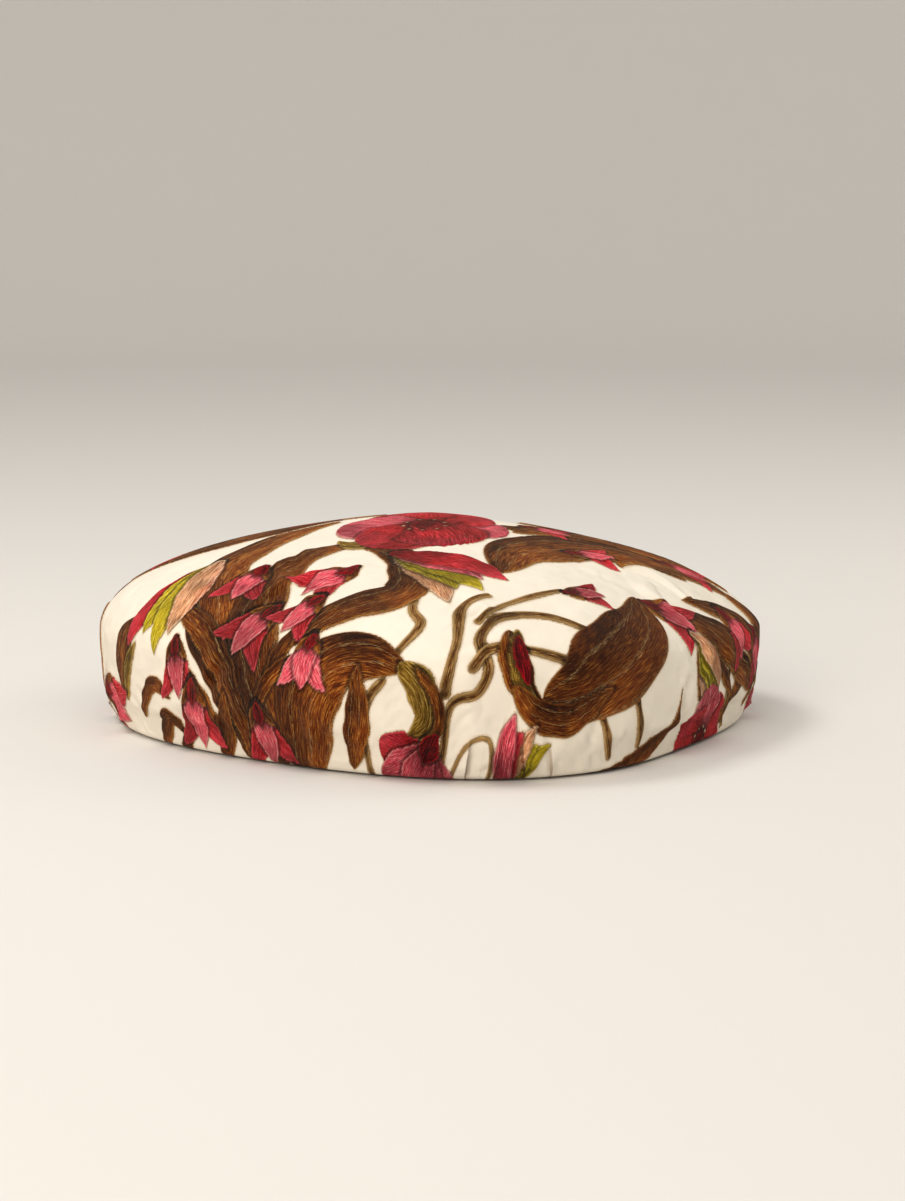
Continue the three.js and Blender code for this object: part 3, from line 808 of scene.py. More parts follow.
def spray_of_motifs():
    """The spray of the front half: stems first, then leaves, and flowers on top."""
    stems = [
        (4.5, [(192, -335), (190, -270), (180, -228), (194, -208), (190, -190), (170, -175),
               (170, -148), (190, -122), (224, -104)]),
        (4.5, [(172, -222), (157, -186), (140, -156), (146, -132)]),
        (4.0, [(180, -196), (182, -178), (202, -160), (246, -130)]),
        (3.8, [(92, -120), (106, -170), (124, -186), (122, -214)]),
        (3.5, [(158, -160), (164, -126), (176, -80)]),
        (4.4, [(132, -332), (116, -292), (112, -258), (122, -236)]),
        (2.2, [(204, -305), (206, -250), (222, -230), (240, -254), (246, -300)]),
        (4.6, [(270, -134), (318, -128)]),
        (4.6, [(276, -92), (322, -84)]),
        (3.0, [(246, 70), (270, 60), (300, 66), (322, 84)]),
    ]
    leaves = [
        (12, [(-172, -118), (-134, -72), (-96, -22), (-62, 34)]),
        (10, [(-206, -60), (-160, -20), (-120, 40)]),
        (25, [(-2, -338), (-22, -272), (-56, -210), (-82, -156), (-78, -96), (-60, -34)]),
        (22, [(26, -338), (12, -272), (-8, -222), (-24, -170), (-18, -122), (4, -84)]),
        (12, [(-98, -200), (-46, -236), (-16, -284), (-10, -334)]),
        (7, [(16, -262), (30, -226), (36, -204)]),
        (6, [(0, -286), (26, -250), (44, -236)]),
        (18, [(34, -232), (56, -194), (88, -158), (66, -118), (24, -96), (-18, -96)]),
        (29, [(52, -350), (54, -292), (66, -248), (98, -226), (138, -222)]),
        (12, [(104, -312), (106, -268), (98, -232)]),
        (14, [(-178, -256), (-162, -226), (-134, -204)]),
        (7, [(-156, -282), (-124, -262), (-98, -276)]),
        (9, [(-140, -318), (-112, -290), (-92, -306)]),
        (7, [(-120, -334), (-84, -300), (-74, -268)]),
        (7, [(-34, -318), (-54, -280), (-78, -248)]),
        (10, [(-48, -334), (-34, -300), (-28, -270)]),
        (32, [(130, -92), (112, -40), (122, 22), (158, 84), (208, 130)]),
        (20, [(74, 8), (84, 68), (124, 112), (196, 146)]),
        (15, [(200, 124), (244, 148), (300, 144)]),
        (35, [(238, -176), (252, -142), (250, -96), (234, -50), (204, -20)]),
        (12, [(182, -156), (200, -172), (222, -182), (242, -178)]),
        (9, [(262, 104), (292, 84), (322, 74)]),
        (17, [(222, 0), (250, 46), (272, 88), (286, 150)]),
        (14, [(214, 40), (236, 92), (262, 136), (270, 190)]),
        (7, [(262, 2), (292, 10), (316, 22)]),
        (7, [(262, 12), (290, 34), (312, 52)]),
        (6, [(258, 22), (282, 52), (300, 78)]),
        (10, [(322, -176), (338, -124), (334, -72), (314, -30), (288, -22)]),
    ]
    curls = [
        (13, [(128, -220), (152, -228), (166, -248), (154, -270)]),
        (7, [(186, -150), (198, -166), (216, -180), (240, -182)]),
        (6, [(-176, -262), (-158, -240), (-138, -226)]),
        (7, [(18, -90), (0, -100), (-20, -92)]),
    ]
    throat = [(6, [(190, -156), (204, -168), (222, -178)])]
    folds = [
        (13, [(212, -186), (242, -186), (266, -162), (266, -116)]),
        (5, [(142, -218), (166, -228), (178, -250), (162, -274)]),
    ]
    layers = (("stem", stems), ("leaf", leaves), ("olive", curls), ("crimson_dark", throat),
              ("leaf", folds))
    strokes = [stroke for dye, marks in layers for stroke in brush_marks(dye, marks)]
    tulips = [
        (-44, -152, -92, 50), (2, -199, -117, 56), (32, -138, -116, 54), (34, -184, -112, 46),
        (-84, -232, -92, 50), (-66, -264, -94, 60), (6, -278, -80, 56), (-224, -222, -64, 62),
        (180, -80, 60, 38), (210, -16, 40, 56), (128, 0, 50, 44), (152, 98, 38, 52),
        (226, 76, 24, 54), (60, 40, 30, 44), (240, 118, 44, 50),
    ]
    for place in tulips:
        strokes += tulip(*place)
    strokes += tulip(50, -220, -88, 46, "pink")
    strokes += bud(-96, -144, -106, 98, ("crimson", "chartreuse", "chartreuse", "peach"))
    strokes += bud(44, -104, -14, 98, ("peach", "chartreuse", "chartreuse", "pink", "crimson"))
    strokes += bud(250, 6, 24, 64, ("peach", "chartreuse", "chartreuse", "peach"))
    strokes += bud(266, -262, 104, 74, ("chartreuse", "chartreuse", "peach", "crimson", "pink"))
    strokes += blossom(176, -268, -100, 62)
    strokes += poppy(334, 36, 44, 10)
    return strokes


def side_motifs():
    """What fills the left side and the rear corner, and the open poppy on the crown."""
    leaves = [
        (22, [(-350, -170), (-315, -120), (-270, -90), (-235, -60)]),
        (15, [(-350, -95), (-320, -55), (-285, -30), (-255, 10)]),
        (10, [(-345, -130), (-320, -75), (-310, -20)]),
        (20, [(-350, 30), (-310, 45), (-275, 80), (-250, 130)]),
        (11, [(-345, 90), (-315, 110), (-300, 150)]),
        (18, [(150, 335), (170, 290), (205, 255), (250, 235)]),
        (10, [(225, 325), (240, 280), (270, 250)]),
        (15, [(-325, -240), (-290, -210), (-255, -190), (-215, -150)]),
        (8, [(-290, -285), (-275, -245), (-245, -215)]),
    ]
    strokes = brush_marks("leaf", leaves)
    strokes += brush_marks("stem", [(4.2, [(-345, 5), (-305, 5), (-270, 35), (-235, 45)])])
    tulips = [
        (-250, -20, 178, 56), (-275, 25, 160, 48), (-285, 95, 190, 50), (-245, 160, 165, 52),
        (-275, -150, 200, 50), (215, 215, 70, 56), (255, 175, 45, 50),
    ]
    for place in tulips:
        strokes += tulip(*place)
    strokes += bud(-240, -110, 185, 84, ("crimson", "chartreuse", "chartreuse", "peach"))
    strokes += bud(150, 240, 85, 84, ("peach", "chartreuse", "chartreuse", "crimson"))
    strokes += poppy(20, -34, 64, 20)
    return strokes


def dyed(cloth, stroke, along, across, inside):
    """Ink and lighter streak colour of each point of a stroke, and the strength of its veins. along
    runs 0 to 1, across and inside are in mm."""
    side = across / stroke.half_width
    name = stroke.dye
    light_name = {"stem": "stem_edge", "crimson_dark": "crimson"}.get(name, name + "_light")
    ink, glow = (np.tile(linear(getattr(cloth, n)), (along.size, 1)) for n in (name, light_name))
    veins = np.zeros(along.size)

    def blend(target, colour, share):
        target += (linear(colour) - target) * np.clip(share, 0, 1)[:, None]

    if name == "leaf":
        blend(ink, cloth.leaf_dark, 0.85 * np.clip(0.3 + 1.2 * side, 0, 1))
        blend(glow, cloth.leaf, 0.75 * np.clip(0.1 + 1.3 * side, 0, 1))
        veins[:] = 0.55 if stroke.half_width > 10 else 0
    elif name == "olive":
        blend(ink, cloth.leaf_dark, 0.8 * np.clip(0.2 + 1.2 * side, 0, 1))
    elif name == "stem":
        blend(ink, cloth.stem_edge, 1.0 - inside / 2.6)
    elif name in ("crimson", "pink"):
        blend(ink, cloth.crimson_dark, 0.85 * np.clip(1 - along / 0.45, 0, 1))
        blend(glow, cloth.crimson, 0.8 * np.clip(1 - along / 0.5, 0, 1))
        blend(ink, cloth.pink, 0.6 * np.clip((along - 0.5) * 1.8, 0, 1) * np.clip(0.7 - side, 0, 1))
    elif name in ("chartreuse", "peach"):
        blend(ink, cloth.leaf, 0.8 * np.clip(1 - along / 0.3, 0, 1))
        blend(ink, cloth.crimson if name == "peach" else cloth.leaf_light,
              0.55 * np.clip(side * 1.7 - 0.4, 0, 1))
    return ink, glow, veins


def nearest_on_path(path, spots):
    """For each spot its distance from a path, its place along it in mm, and its side."""
    gap, along, side = np.full(len(spots), 1e9), np.zeros(len(spots)), np.zeros(len(spots))
    run = 0.0
    for a, b in zip(path, path[1:]):
        edge = b - a
        length = math.hypot(*edge)
        part = np.clip((spots - a) @ edge / length ** 2, 0, 1)
        off = spots - a - part[:, None] * edge
        near = np.hypot(off[:, 0], off[:, 1])
        closer = near < gap
        gap[closer] = near[closer]
        along[closer] = run + part[closer] * length
        side[closer] = np.sign(edge[0] * off[:, 1] - edge[1] * off[:, 0])[closer]
        run += length
    return gap, along, side, run


# Round a stroke: how far its edge colours reach past it, and the width and depth of its shadow
EDGE_REACH_MM, SHADOW_WIDTH_MM, SHADOW_SHARE = 3.0, 2.6, 0.4
# Where no motif is near, the cloth counts as this far outside one
FAR_OUTSIDE_MM = -6.0


def paint_cloth(cloth, places, strokes):
    """The pile at each place on the flat cloth (mm): its signed distance inside a motif, its ink
    and streak colours, the flow of its streaks and its place in its own stroke."""
    count = len(places)
    pile = np.full(count, FAR_OUTSIDE_MM)
    ink = np.column_stack([np.tile(linear(cloth.leaf), (count, 1)), np.ones(count)])
    glow = np.column_stack([np.tile(linear(cloth.leaf_light), (count, 1)), np.zeros(count)])
    flow, brush = np.zeros((count, 3)), np.zeros((count, 3))
    for order, stroke in enumerate(strokes):
        reach = stroke.half_width + EDGE_REACH_MM
        low, high = stroke.path.min(0) - reach, stroke.path.max(0) + reach
        near = np.nonzero(np.all((places > low) & (places < high), axis=1))[0]
        if not near.size:
            continue
        gap, run, side, length = nearest_on_path(stroke.path, places[near])
        along = run / length
        half = stroke.half_width * PROFILES[stroke.profile](along)
        if stroke.profile != "stem":
            wave = np.sin(run / (0.3 * stroke.half_width) + 2.1 * order + side)
            half = half * (1 + 0.045 * wave)
        inside = half - gap
        shown = (inside > 0) | ((inside > -EDGE_REACH_MM) & (inside > pile[near]))
        shaded = near[(inside <= 0) & (inside > -SHADOW_WIDTH_MM) & (pile[near] > 0)]
        ink[shaded, :3] *= SHADOW_SHARE
        glow[shaded, :3] *= SHADOW_SHARE
        spots = near[shown]
        across = (side * gap)[shown]
        ink[spots, :3], glow[spots, :3], glow[spots, 3] = dyed(
            cloth, stroke, along[shown], across, inside[shown])
        own_streaks = np.full(spots.size, 7.3 * order)
        flow[spots] = np.column_stack([run[shown], across, own_streaks])
        share = across / np.maximum(half[shown], 1)
        brush[spots] = np.column_stack([inside[shown], share, along[shown]])
        pile[near] = np.maximum(pile[near], inside)
    return pile, ink, glow, flow, brush


# ---- The velvet cover --------------------------------------------------------------------------

# From the widest outline in to the cover's hem under the pad
HEM_INSET = 0.0432
# The simulated copy: its rings, those under the pad, every which point is stapled, and its frames
COARSE_RINGS, HEM_RINGS, STAPLE_EVERY, CLOTH_FRAMES = 40, 5, 6, 20
# What is kept of it: rings over which the crown stays firm, rounds that find the broad swell, gain
CROWN_RINGS, SMOOTHING_ROUNDS, PULL_GAIN = 8, 14, 1.4


def simulated_pull(shape, outline, profile, cap):
    """The small hollows and puckers that staples pull into the cover, from a cloth simulation of a
    coarse copy: a little slack, pressed up from below, and held by staples along its bottom edge.
    The broad swell is left out, because the foam below decides it."""
    points, _ = ring_table(shape, outline, COARSE_RINGS, HEM_RINGS, **profile)
    ring, turn = disc_grid(COARSE_RINGS)
    start = from_table(points, ring, turn)
    piece = grid_mesh("cover_in_simulation", start)
    pins = piece.vertex_groups.new(name="staples")
    order = np.round(turn / TAU * 8 * ring).astype(int)
    stapled = (ring == COARSE_RINGS - HEM_RINGS) & (order % STAPLE_EVERY == 0)
    held = np.nonzero((stapled | (ring > COARSE_RINGS - HEM_RINGS + 1)).ravel())[0]
    pins.add(held.tolist(), 1.0, "REPLACE")
    modifier = piece.modifiers.new("cloth", "CLOTH")
    values = {
        "quality": 6, "mass": 0.3, "tension_stiffness": 30, "compression_stiffness": 20,
        "bending_stiffness": 0.3, "shrink_min": -0.02, "vertex_group_mass": "staples",
        "use_pressure": True, "uniform_pressure_force": 4,
    }
    for key, value in values.items():
        setattr(modifier.settings, key, value)
    modifier.settings.effector_weights.gravity = 0
    modifier.collision_settings.use_collision = False
    for frame_number in range(1, CLOTH_FRAMES + 1):
        bpy.context.scene.frame_set(frame_number)
    graph = bpy.context.evaluated_depsgraph_get()
    moved = np.empty(ring.size * 3, dtype=np.float32)
    piece.evaluated_get(graph).data.vertices.foreach_get("co", moved)
    bpy.context.scene.frame_set(1)
    bpy.data.objects.remove(piece)
    push = ((moved.reshape(start.shape) - start) * grid_normals(start)).sum(-1)
    broad = push.copy()
    for _ in range(SMOOTHING_ROUNDS):
        wide = np.pad(broad, 1, mode="edge")
        broad = (4 * broad + wide[2:, 1:-1] + wide[:-2, 1:-1] + wide[1:-1, 2:] + wide[1:-1, :-2]) / 8
    firm_crown = np.clip(ring / CROWN_RINGS, 0, 1)
    return np.clip(PULL_GAIN * (push - broad) * firm_crown, -cap, cap)


def enlarge(field, size):
    """A square field resampled to size by smooth interpolation along each axis."""
    for _ in range(2):
        place = np.linspace(0, 1, size) * (len(field) - 1)
        low = np.clip(np.floor(place).astype(int), 1, len(field) - 3)
        t = (place - low)[:, None]
        field = catmull_rom(*(field[low + k] for k in (-1, 0, 1, 2)), t).T
    return field


# Each corner's pleats: distance along the outline from the corner's middle, and height of the fold
PLEATS_MM = ((-34, 34), (-12, 50), (12, 44), (34, 30))
# A pleat's shape: its lean per unit of height, and how fast its lap and its hollow fade
PLEAT_LEAN, LAP_FADE, HOLLOW_FADE, HOLLOW_DEPTH = 0.16, 0.009, 0.005, 0.55
# The pattern repeats by a half turn about this place. The pile starts to rise just outside a
# motif's edge, and reaches its full height over a short width.
REPEAT_PIVOT_MM = (-8, 12)
PILE_START_MM, PILE_EDGE_MM = 0.9, 2.2


def pleats(outline, points, turn):
    """How far the cloth stands out beside each pleat, from -1 to 1; and at each point the distance
    past the nearest fold, in mm, and how deep that fold still is."""
    relief, depth = np.zeros(turn.shape), np.zeros(turn.shape)
    past = np.full(turn.shape, 50.0)
    around = turn / TAU * outline.length
    for k in range(len(CORNERS)):
        station = np.argmin(np.abs(outline.angles - math.pi * (2 * k + 1) / 4))
        middle = station / outline.STATIONS * outline.length
        for shift, top in PLEATS_MM:
            gap = around - middle - shift * MM
            gap = (gap + outline.length / 2) % outline.length - outline.length / 2
            lean = math.copysign(1, shift)
            gap = gap * lean + PLEAT_LEAN * points[..., 2]
            fade = np.clip(1 - points[..., 2] / (top * MM), 0, 1) ** 0.6
            lap = np.where(gap > 0, np.exp(-gap / LAP_FADE),
                           -HOLLOW_DEPTH * np.exp(gap / HOLLOW_FADE))
            relief += fade * lap
            nearer = np.abs(gap / MM) < np.abs(past)
            past[nearer], depth[nearer] = (gap / MM)[nearer], fade[nearer]
    return relief, np.stack([past, depth, np.zeros(turn.shape)], -1)


class SEATPAD_OT_velvet_cover(bpy.types.Operator):
    """Makes the velvet cover, with its motifs in raised pile and its corner pleats"""

    bl_idname = "seatpad.velvet_cover"
    bl_label = "Velvet cover"

    def execute(self, context):
        shape, cloth = settings().shape, settings().velvet
        outline = PadOutline(shape)
        low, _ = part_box("velvet_cover")
        profile = {"depth": 0.0, "foot": low[2], "turn": cloth.turn_radius, "hem": HEM_INSET}
        lines = meridians(shape, outline, **profile)
        longest = np.linalg.norm(np.diff(lines, axis=1), axis=2).sum(1).mean()
        rings = int(longest / cloth.ring_spacing)
        return_rings = int((HEM_INSET - shape.bottom_tuck) / cloth.ring_spacing)
        ring, turn = disc_grid(rings)
        points, flat = (from_table(table, ring, turn) for table in
                        ring_table(shape, outline, rings, return_rings, **profile))
        normals = grid_normals(points)
        fade_rings = 6
        on_face = np.clip((rings - return_rings - ring) / fade_rings, 0, 1)
        lift = np.zeros(ring.shape)
        pull = simulated_pull(shape, outline, profile, cloth.pull_cap)
        lift += enlarge(pull, len(ring))
        relief, folds = pleats(outline, points, turn)
        lift = np.maximum((lift + cloth.pleat_height * relief) * on_face, -cloth.deepest)
        front = spray_of_motifs()
        strokes = [half_turned(stroke, REPEAT_PIVOT_MM) for stroke in front]
        strokes += front + side_motifs()
        places = flat.reshape(-1, 2) / MM
        pile, ink, glow, flow, brush = paint_cloth(cloth, places, strokes)
        stand = eased((pile + PILE_START_MM) / PILE_EDGE_MM)
        lift += cloth.pile_height * stand.reshape(ring.shape) * on_face
        piece = grid_mesh("velvet_cover_cloth", points + normals * lift[..., None])
        on_cloth = np.column_stack([places, np.zeros(len(places))])
        set_attribute(piece.data, "pile", "FLOAT", pile)
        for name, values in (("ink", ink), ("glow", glow)):
            set_attribute(piece.data, name, "FLOAT_COLOR", values)
        for name, values in (("fold", folds), ("flow", flow), ("brush", brush),
                             ("cloth", on_cloth)):
            set_attribute(piece.data, name, "FLOAT_VECTOR", values)
        add_flat_map(piece.data, flat.reshape(-1, 2))
        finish_piece(piece, cut_velvet_material(cloth), "velvet", "velvet_cover")
        return {"FINISHED"}


def add_flat_map(mesh, flat):
    """A UV map that lays the cloth out as it was cut, for baking its pattern."""
    span = np.ptp(flat, axis=0).max() * 1.01
    layer = mesh.uv_layers.new(name="OFBake")
    corners = np.empty(len(mesh.loops), dtype=np.int32)
    mesh.loops.foreach_get("vertex_index", corners)
    spots = (flat - flat.min(0)) / span + 0.004
    layer.data.foreach_set("uv", spots[corners].astype(np.float32).ravel())


# ---- The layers inside -------------------------------------------------------------------------

def blanket(name, shape, depth, thickness, foot, rings):
    """A soft layer over the dome and down the sides, as a closed shell of even thickness."""
    outline = PadOutline(shape)
    ring, turn = disc_grid(rings)
    faces = []
    for below in (depth, depth + thickness):
        table, flat = ring_table(shape, outline, rings, depth=below, foot=foot)
        faces.append(from_table(table, ring, turn))
    spots = from_table(flat, ring, turn).reshape(-1, 2)
    return closed_sheet(name, *faces), spots


class SEATPAD_OT_lining_and_wadding(bpy.types.Operator):
    """Makes the calico lining and the polyester wadding over it"""

    bl_idname = "seatpad.lining_and_wadding"
    bl_label = "Lining and wadding"

    def execute(self, context):
        shape, inner = settings().shape, settings().inner
        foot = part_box("calico_lining")[0][2]
        wadding, _ = blanket("wadding_blanket", shape, inner.wadding_inset,
                             inner.wadding_thickness, foot, 70)
        finish_piece(wadding, wadding_material(), "wadding", "polyester_wadding")
        calico, spots = blanket("calico_undercover", shape, inner.calico_inset,
                                inner.calico_thickness, foot, 60)
        material = woven_material("unbleached_calico", "#E9DFC8", "#B9AC90", 0.8, 0.9)
        finish_piece(calico, material, "calico", "calico_lining")
        return {"FINISHED"}


def from_solid(name, node, longest_edge):
    """A mesh of a node's solid with its corners joined and its faces cut up small."""
    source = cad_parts[node]
    bm = bmesh.new()
    bm.from_mesh(source.data)
    bm.transform(source.matrix_world)
    bmesh.ops.remove_doubles(bm, verts=bm.verts, dist=0.01 * MM)
    for _ in range(6):
        long = [edge for edge in bm.edges if edge.calc_length() > longest_edge]
        if not long:
            break
        bmesh.ops.subdivide_edges(bm, edges=long, cuts=1)
        bmesh.ops.triangulate(bm, faces=bm.faces)
    mesh = bpy.data.meshes.new(name)
    bm.to_mesh(mesh)
    bm.free()
    return placed(name, mesh)


def foam_from_node(name, node, material, slot, voxel):
    """A foam piece with softened edges, in the space of its solid."""
    uncut = 1.0
    piece = from_solid(name, node, uncut)
    remesh = piece.modifiers.new("even", "REMESH")
    remesh.mode = "VOXEL"
    remesh.voxel_size = voxel
    ease = piece.modifiers.new("ease", "SMOOTH")
    ease.iterations = 3
    ease.factor = 0.5
    apply_modifiers(piece)
    piece.data.shade_smooth()
    finish_piece(piece, material, slot, node)
    return piece


class SEATPAD_OT_foam(bpy.types.Operator):
    """Makes the firm core, the soft crown and the strip round the rails"""

    bl_idname = "seatpad.foam"
    bl_label = "Foam"

    def execute(self, context):
        voxel = settings().inner.foam_voxel
        firm = foam_material("firm_polyurethane_foam", "#C6D2DE", "#8E9DAD")
        soft = foam_material("soft_polyurethane_foam", "#F1E7CB", "#C4B489")
        foam_from_node("foam_core", "firm_foam_core", firm, "firm_foam", voxel)
        foam_from_node("foam_crown", "soft_foam_crown", soft, "soft_foam", voxel)
        foam_from_node("foam_edge", "edge_foam_strip", soft, "soft_foam", 0.6 * voxel)
        return {"FINISHED"}


# A strap's thickness, and how far in from its end its tacks are
STRAP_THICKNESS, TACK_INSET = 1.8 * MM, 6 * MM
# A tack's radius and height from the middle of its head to its point
TACK_PROFILE_MM = ((0, 0.9), (1.6, 0.7), (2.4, 0.15), (2.4, 0), (0.7, 0), (0.5, -8), (0, -10))


class SEATPAD_OT_webbing(bpy.types.Operator):
    """Makes the woven jute straps, their tacks and the hessian over them"""

    bl_idname = "seatpad.webbing"
    bl_label = "Webbing and hessian"

    def execute(self, context):
        jute = woven_material("jute_webbing", "#C3A06A", "#7A5A30", 2.2, 0.9)
        lengthwise = sorted(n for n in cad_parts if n.startswith("webbing_lengthwise"))
        crosswise = sorted(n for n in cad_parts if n.startswith("webbing_crosswise"))
        for i, node in enumerate(lengthwise):
            self.strap(node, 1, [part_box(n) for n in crosswise],
                       [(i + j) % 2 == 0 for j in range(len(crosswise))], jute)
        for j, node in enumerate(crosswise):
            self.strap(node, 0, [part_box(n) for n in lengthwise],
                       [(i + j) % 2 == 1 for i in range(len(lengthwise))], jute)
        self.tacks([*lengthwise, *crosswise])
        self.hessian()
        return {"FINISHED"}

    def strap(self, node, axis, crossed, over, material):
        """A strap that rises smoothly over every other strap that it crosses."""
        long_steps, wide_steps, ramp_share, crossing_gap = 160, 24, 0.2, 0.15 * MM
        low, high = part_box(node)
        half = (crossed[0][1][axis] - crossed[0][0][axis]) / 2
        middles = np.array([(a[axis] + b[axis]) / 2 for a, b in crossed])
        strap_low = min(box[0][2] for box in crossed)
        rise = (high[2] - low[2]) / 2 + crossing_gap
        steps = np.linspace(low[axis], high[axis], long_steps)
        lift = np.zeros(steps.size)
        for middle, is_over in zip(middles, over):
            if is_over:
                gap = (np.abs(steps - middle) - half) / (ramp_share * half)
                lift = np.maximum(lift, rise * (1 - eased(gap)))
        side = np.linspace(low[1 - axis], high[1 - axis], wide_steps)
        inner = np.empty((steps.size, side.size, 3))
        inner[..., axis], inner[..., 1 - axis] = np.meshgrid(steps, side, indexing="ij")
        inner[..., 2] = (strap_low + lift)[:, None]
        outer = inner + (0, 0, STRAP_THICKNESS)
        piece = closed_sheet(node.replace("webbing", "strap"), outer, inner)
        finish_piece(piece, material, "jute_webbing", node)

    def tacks(self, nodes):
        """Blued cut tacks through the ends of every strap."""
        count = settings().inner.tacks_per_end
        pieces = []
        for node in nodes:
            low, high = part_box(node)
            axis = 1 if "lengthwise" in node else 0
            for end in (low[axis] + TACK_INSET, high[axis] - TACK_INSET):
                for share in (np.arange(count) + 0.5) / count:
                    place = [0.0, 0.0, low[2] + STRAP_THICKNESS]
                    place[axis] = end
                    place[1 - axis] = low[1 - axis] + share * (high[1 - axis] - low[1 - axis])
                    pieces.append(place)
        piece = turned("webbing_tacks", TACK_PROFILE_MM, pieces)
        blued = steel_material("blued_steel", "#23262B", "#4A4F57", 0.4)
        finish_piece(piece, blued, "zinc_plated_steel")

    def hessian(self):
        """The hessian, with a slight wave where it is stretched over the straps."""
        rings, wave_height = 60, 0.15 * MM
        low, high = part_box("hessian_platform")
        outline = PadOutline(settings().shape)
        ring, turn = disc_grid(rings)
        inset = (COVER_HIGH[0] - COVER_LOW[0]) / 2 - high[0]
        painted_edge_highlight = outline.inset(inset)
        table = np.linspace(0, 1, rings + 1)[None, :, None] * painted_edge_highlight[:, None]
        flat = from_table(table, ring, turn)
        hang = wave_height * np.sin(flat[..., 0] * 90) * np.sin(flat[..., 1] * 80)
        faces = [np.concatenate([flat, (level + hang)[..., None]], -1)
                 for level in (high[2], low[2])]
        piece = closed_sheet("hessian_cloth", *faces)
        material = woven_material("hessian", "#BFA070", "#5E4824", 1.6, 0.95)
        finish_piece(piece, material, "hessian", "hessian_platform")


def turned(name, profile_mm, places, facets=12):
    """Copies of a round piece, turned from a profile of (radius, height), at each place."""
    radii, heights = np.array(profile_mm[1:-1]).T * MM
    angle = np.arange(facets) * TAU / facets
    circle = np.stack([np.cos(angle), np.sin(angle)], -1)
    body = [np.column_stack([circle * r, np.full(facets, h)]) for r, h in zip(radii, heights)]
    tips = np.array([[0, 0, profile_mm[0][1] * MM], [0, 0, profile_mm[-1][1] * MM]])
    one = np.concatenate([*body, tips])
    faces = []
    rows = len(radii)
    top, bottom = rows * facets, rows * facets + 1
    last = (rows - 1) * facets
    for j in range(facets):
        k = (j + 1) % facets
        faces += [[start + j, start + facets + j, start + facets + k, start + k]
                  for start in range(0, last, facets)]
        faces += [[top, j, k], [bottom, last + k, last + j]]
    points = np.concatenate([one + np.array(place) for place in places])
    all_faces = [[v + n * len(one) for v in face] for n in range(len(places)) for face in faces]
    return new_mesh(name, points, all_faces)


def wires(name, paths, radius, facets=8):
    """Bent wires of one radius, each along its own path."""
    points, faces = [], []
    angle = np.arange(facets) * TAU / facets
    for path in np.array(paths):
        first = len(points)
        across = np.cross(path[-1] - path[0], (0, 0, 1.0))
        across /= np.linalg.norm(across)
        ways = np.gradient(path, axis=0)
        for place, way in zip(path, ways):
            up = np.cross(across, way / np.linalg.norm(way))
            points += list(place + radius * (np.cos(angle)[:, None] * across
                                             + np.sin(angle)[:, None] * up))
        for ring in range(len(path) - 1):
            for j in range(facets):
                a, b = first + ring * facets + j, first + ring * facets + (j + 1) % facets
                faces.append([a, b, b + facets, a + facets])
        last = first + (len(path) - 1) * facets
        faces.append([first + j for j in range(facets)][::-1])
        faces.append([last + j for j in range(facets)])
    piece = new_mesh(name, np.array(points), faces)
    make_outward(piece)
    return piece


class SEATPAD_OT_dust_cover(bpy.types.Operator):
    """Makes the black dust cover under the seat, with its notches and staples"""

    bl_idname = "seatpad.dust_cover"
    bl_label = "Dust cover and staples"

    def execute(self, context):
        piece = from_solid("dust_cover_cloth", "dust_cover", 6 * MM)
        material = woven_material("black_cambric", "#2A2A2D", "#101012", 1.0, 0.95)
        finish_piece(piece, material, "cambric", "dust_cover")
        low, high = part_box("dust_cover")
        self.staples(low[2])
        return {"FINISHED"}

    def staples(self, underside):
        """Wire staples along the dust cover's edge, clear of the corner blocks."""
        inner = settings().inner
        outline = PadOutline(settings().shape)
        row = outline.inset(settings().shape.bottom_tuck + inner.staple_inset)
        blocks = [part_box(f"corner_block_{corner}") for corner in CORNERS]
        count = int(outline.length / inner.staple_pitch)
        half, wire, clear = inner.staple_crown / 2, inner.staple_wire / 2, inner.block_clearance
        height = underside - 0.3 * wire
        leg, bend_length = np.array([0, 0, 6 * MM]), 0.6 * MM
        paths = []
        for station in np.linspace(0, outline.STATIONS, count, endpoint=False).astype(int):
            x, y = row[station]
            if any(low[0] - clear < x < high[0] + clear
                   and low[1] - clear < y < high[1] + clear for low, high in blocks):
                continue
            along = np.array([-outline.normals[station, 1], outline.normals[station, 0], 0.0])
            middle = np.array([x, y, height])
            bend = along * bend_length
            left, right = middle - along * half, middle + along * half
            paths.append([left + leg, left + leg * 0.15, left + bend, right - bend,
                          right + leg * 0.15, right + leg])
        piece = wires("dust_cover_staples", paths, wire)
        finish_piece(piece, steel_material("galvanised_wire", "#8E9296", "#C6C9CC", 0.42),
                     "zinc_plated_steel")


# ---- Timber and hardware -----------------------------------------------------------------------

class SEATPAD_OT_timber_and_hardware(bpy.types.Operator):
    """Finishes the beech rails, plywood blocks, dowels, tee nuts and screws"""

    bl_idname = "seatpad.timber_and_hardware"
    bl_label = "Timber and hardware"

    def execute(self, context):
        along_x = timber_material("beech_sawn_lengthways", "#D9B083", "#A97B4C", "X")
        along_y = timber_material("beech_sawn_crossways", "#D9B083", "#A97B4C", "Y")
        dowel = timber_material("beech_dowel", "#E2C097", "#B58D5C", "X", 2.0)
        ply = plywood_material()
        zinc = steel_material("zinc_plated_steel", "#9FA4A8", "#D4D7DA", 0.36)
        finishes = {
            "front_rail": along_x, "rear_rail": along_x, "left_rail": along_y,
            "right_rail": along_y, "corner_block": ply, "dowel": dowel, "tee_nut": zinc,
            "block_screw": zinc,
        }
        for node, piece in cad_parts.items():
            for start, material in finishes.items():
                if node.startswith(start):
                    for slot in piece.material_slots:
                        slot.material = material
        return {"FINISHED"}


# ---- Stage -------------------------------------------------------------------------------------

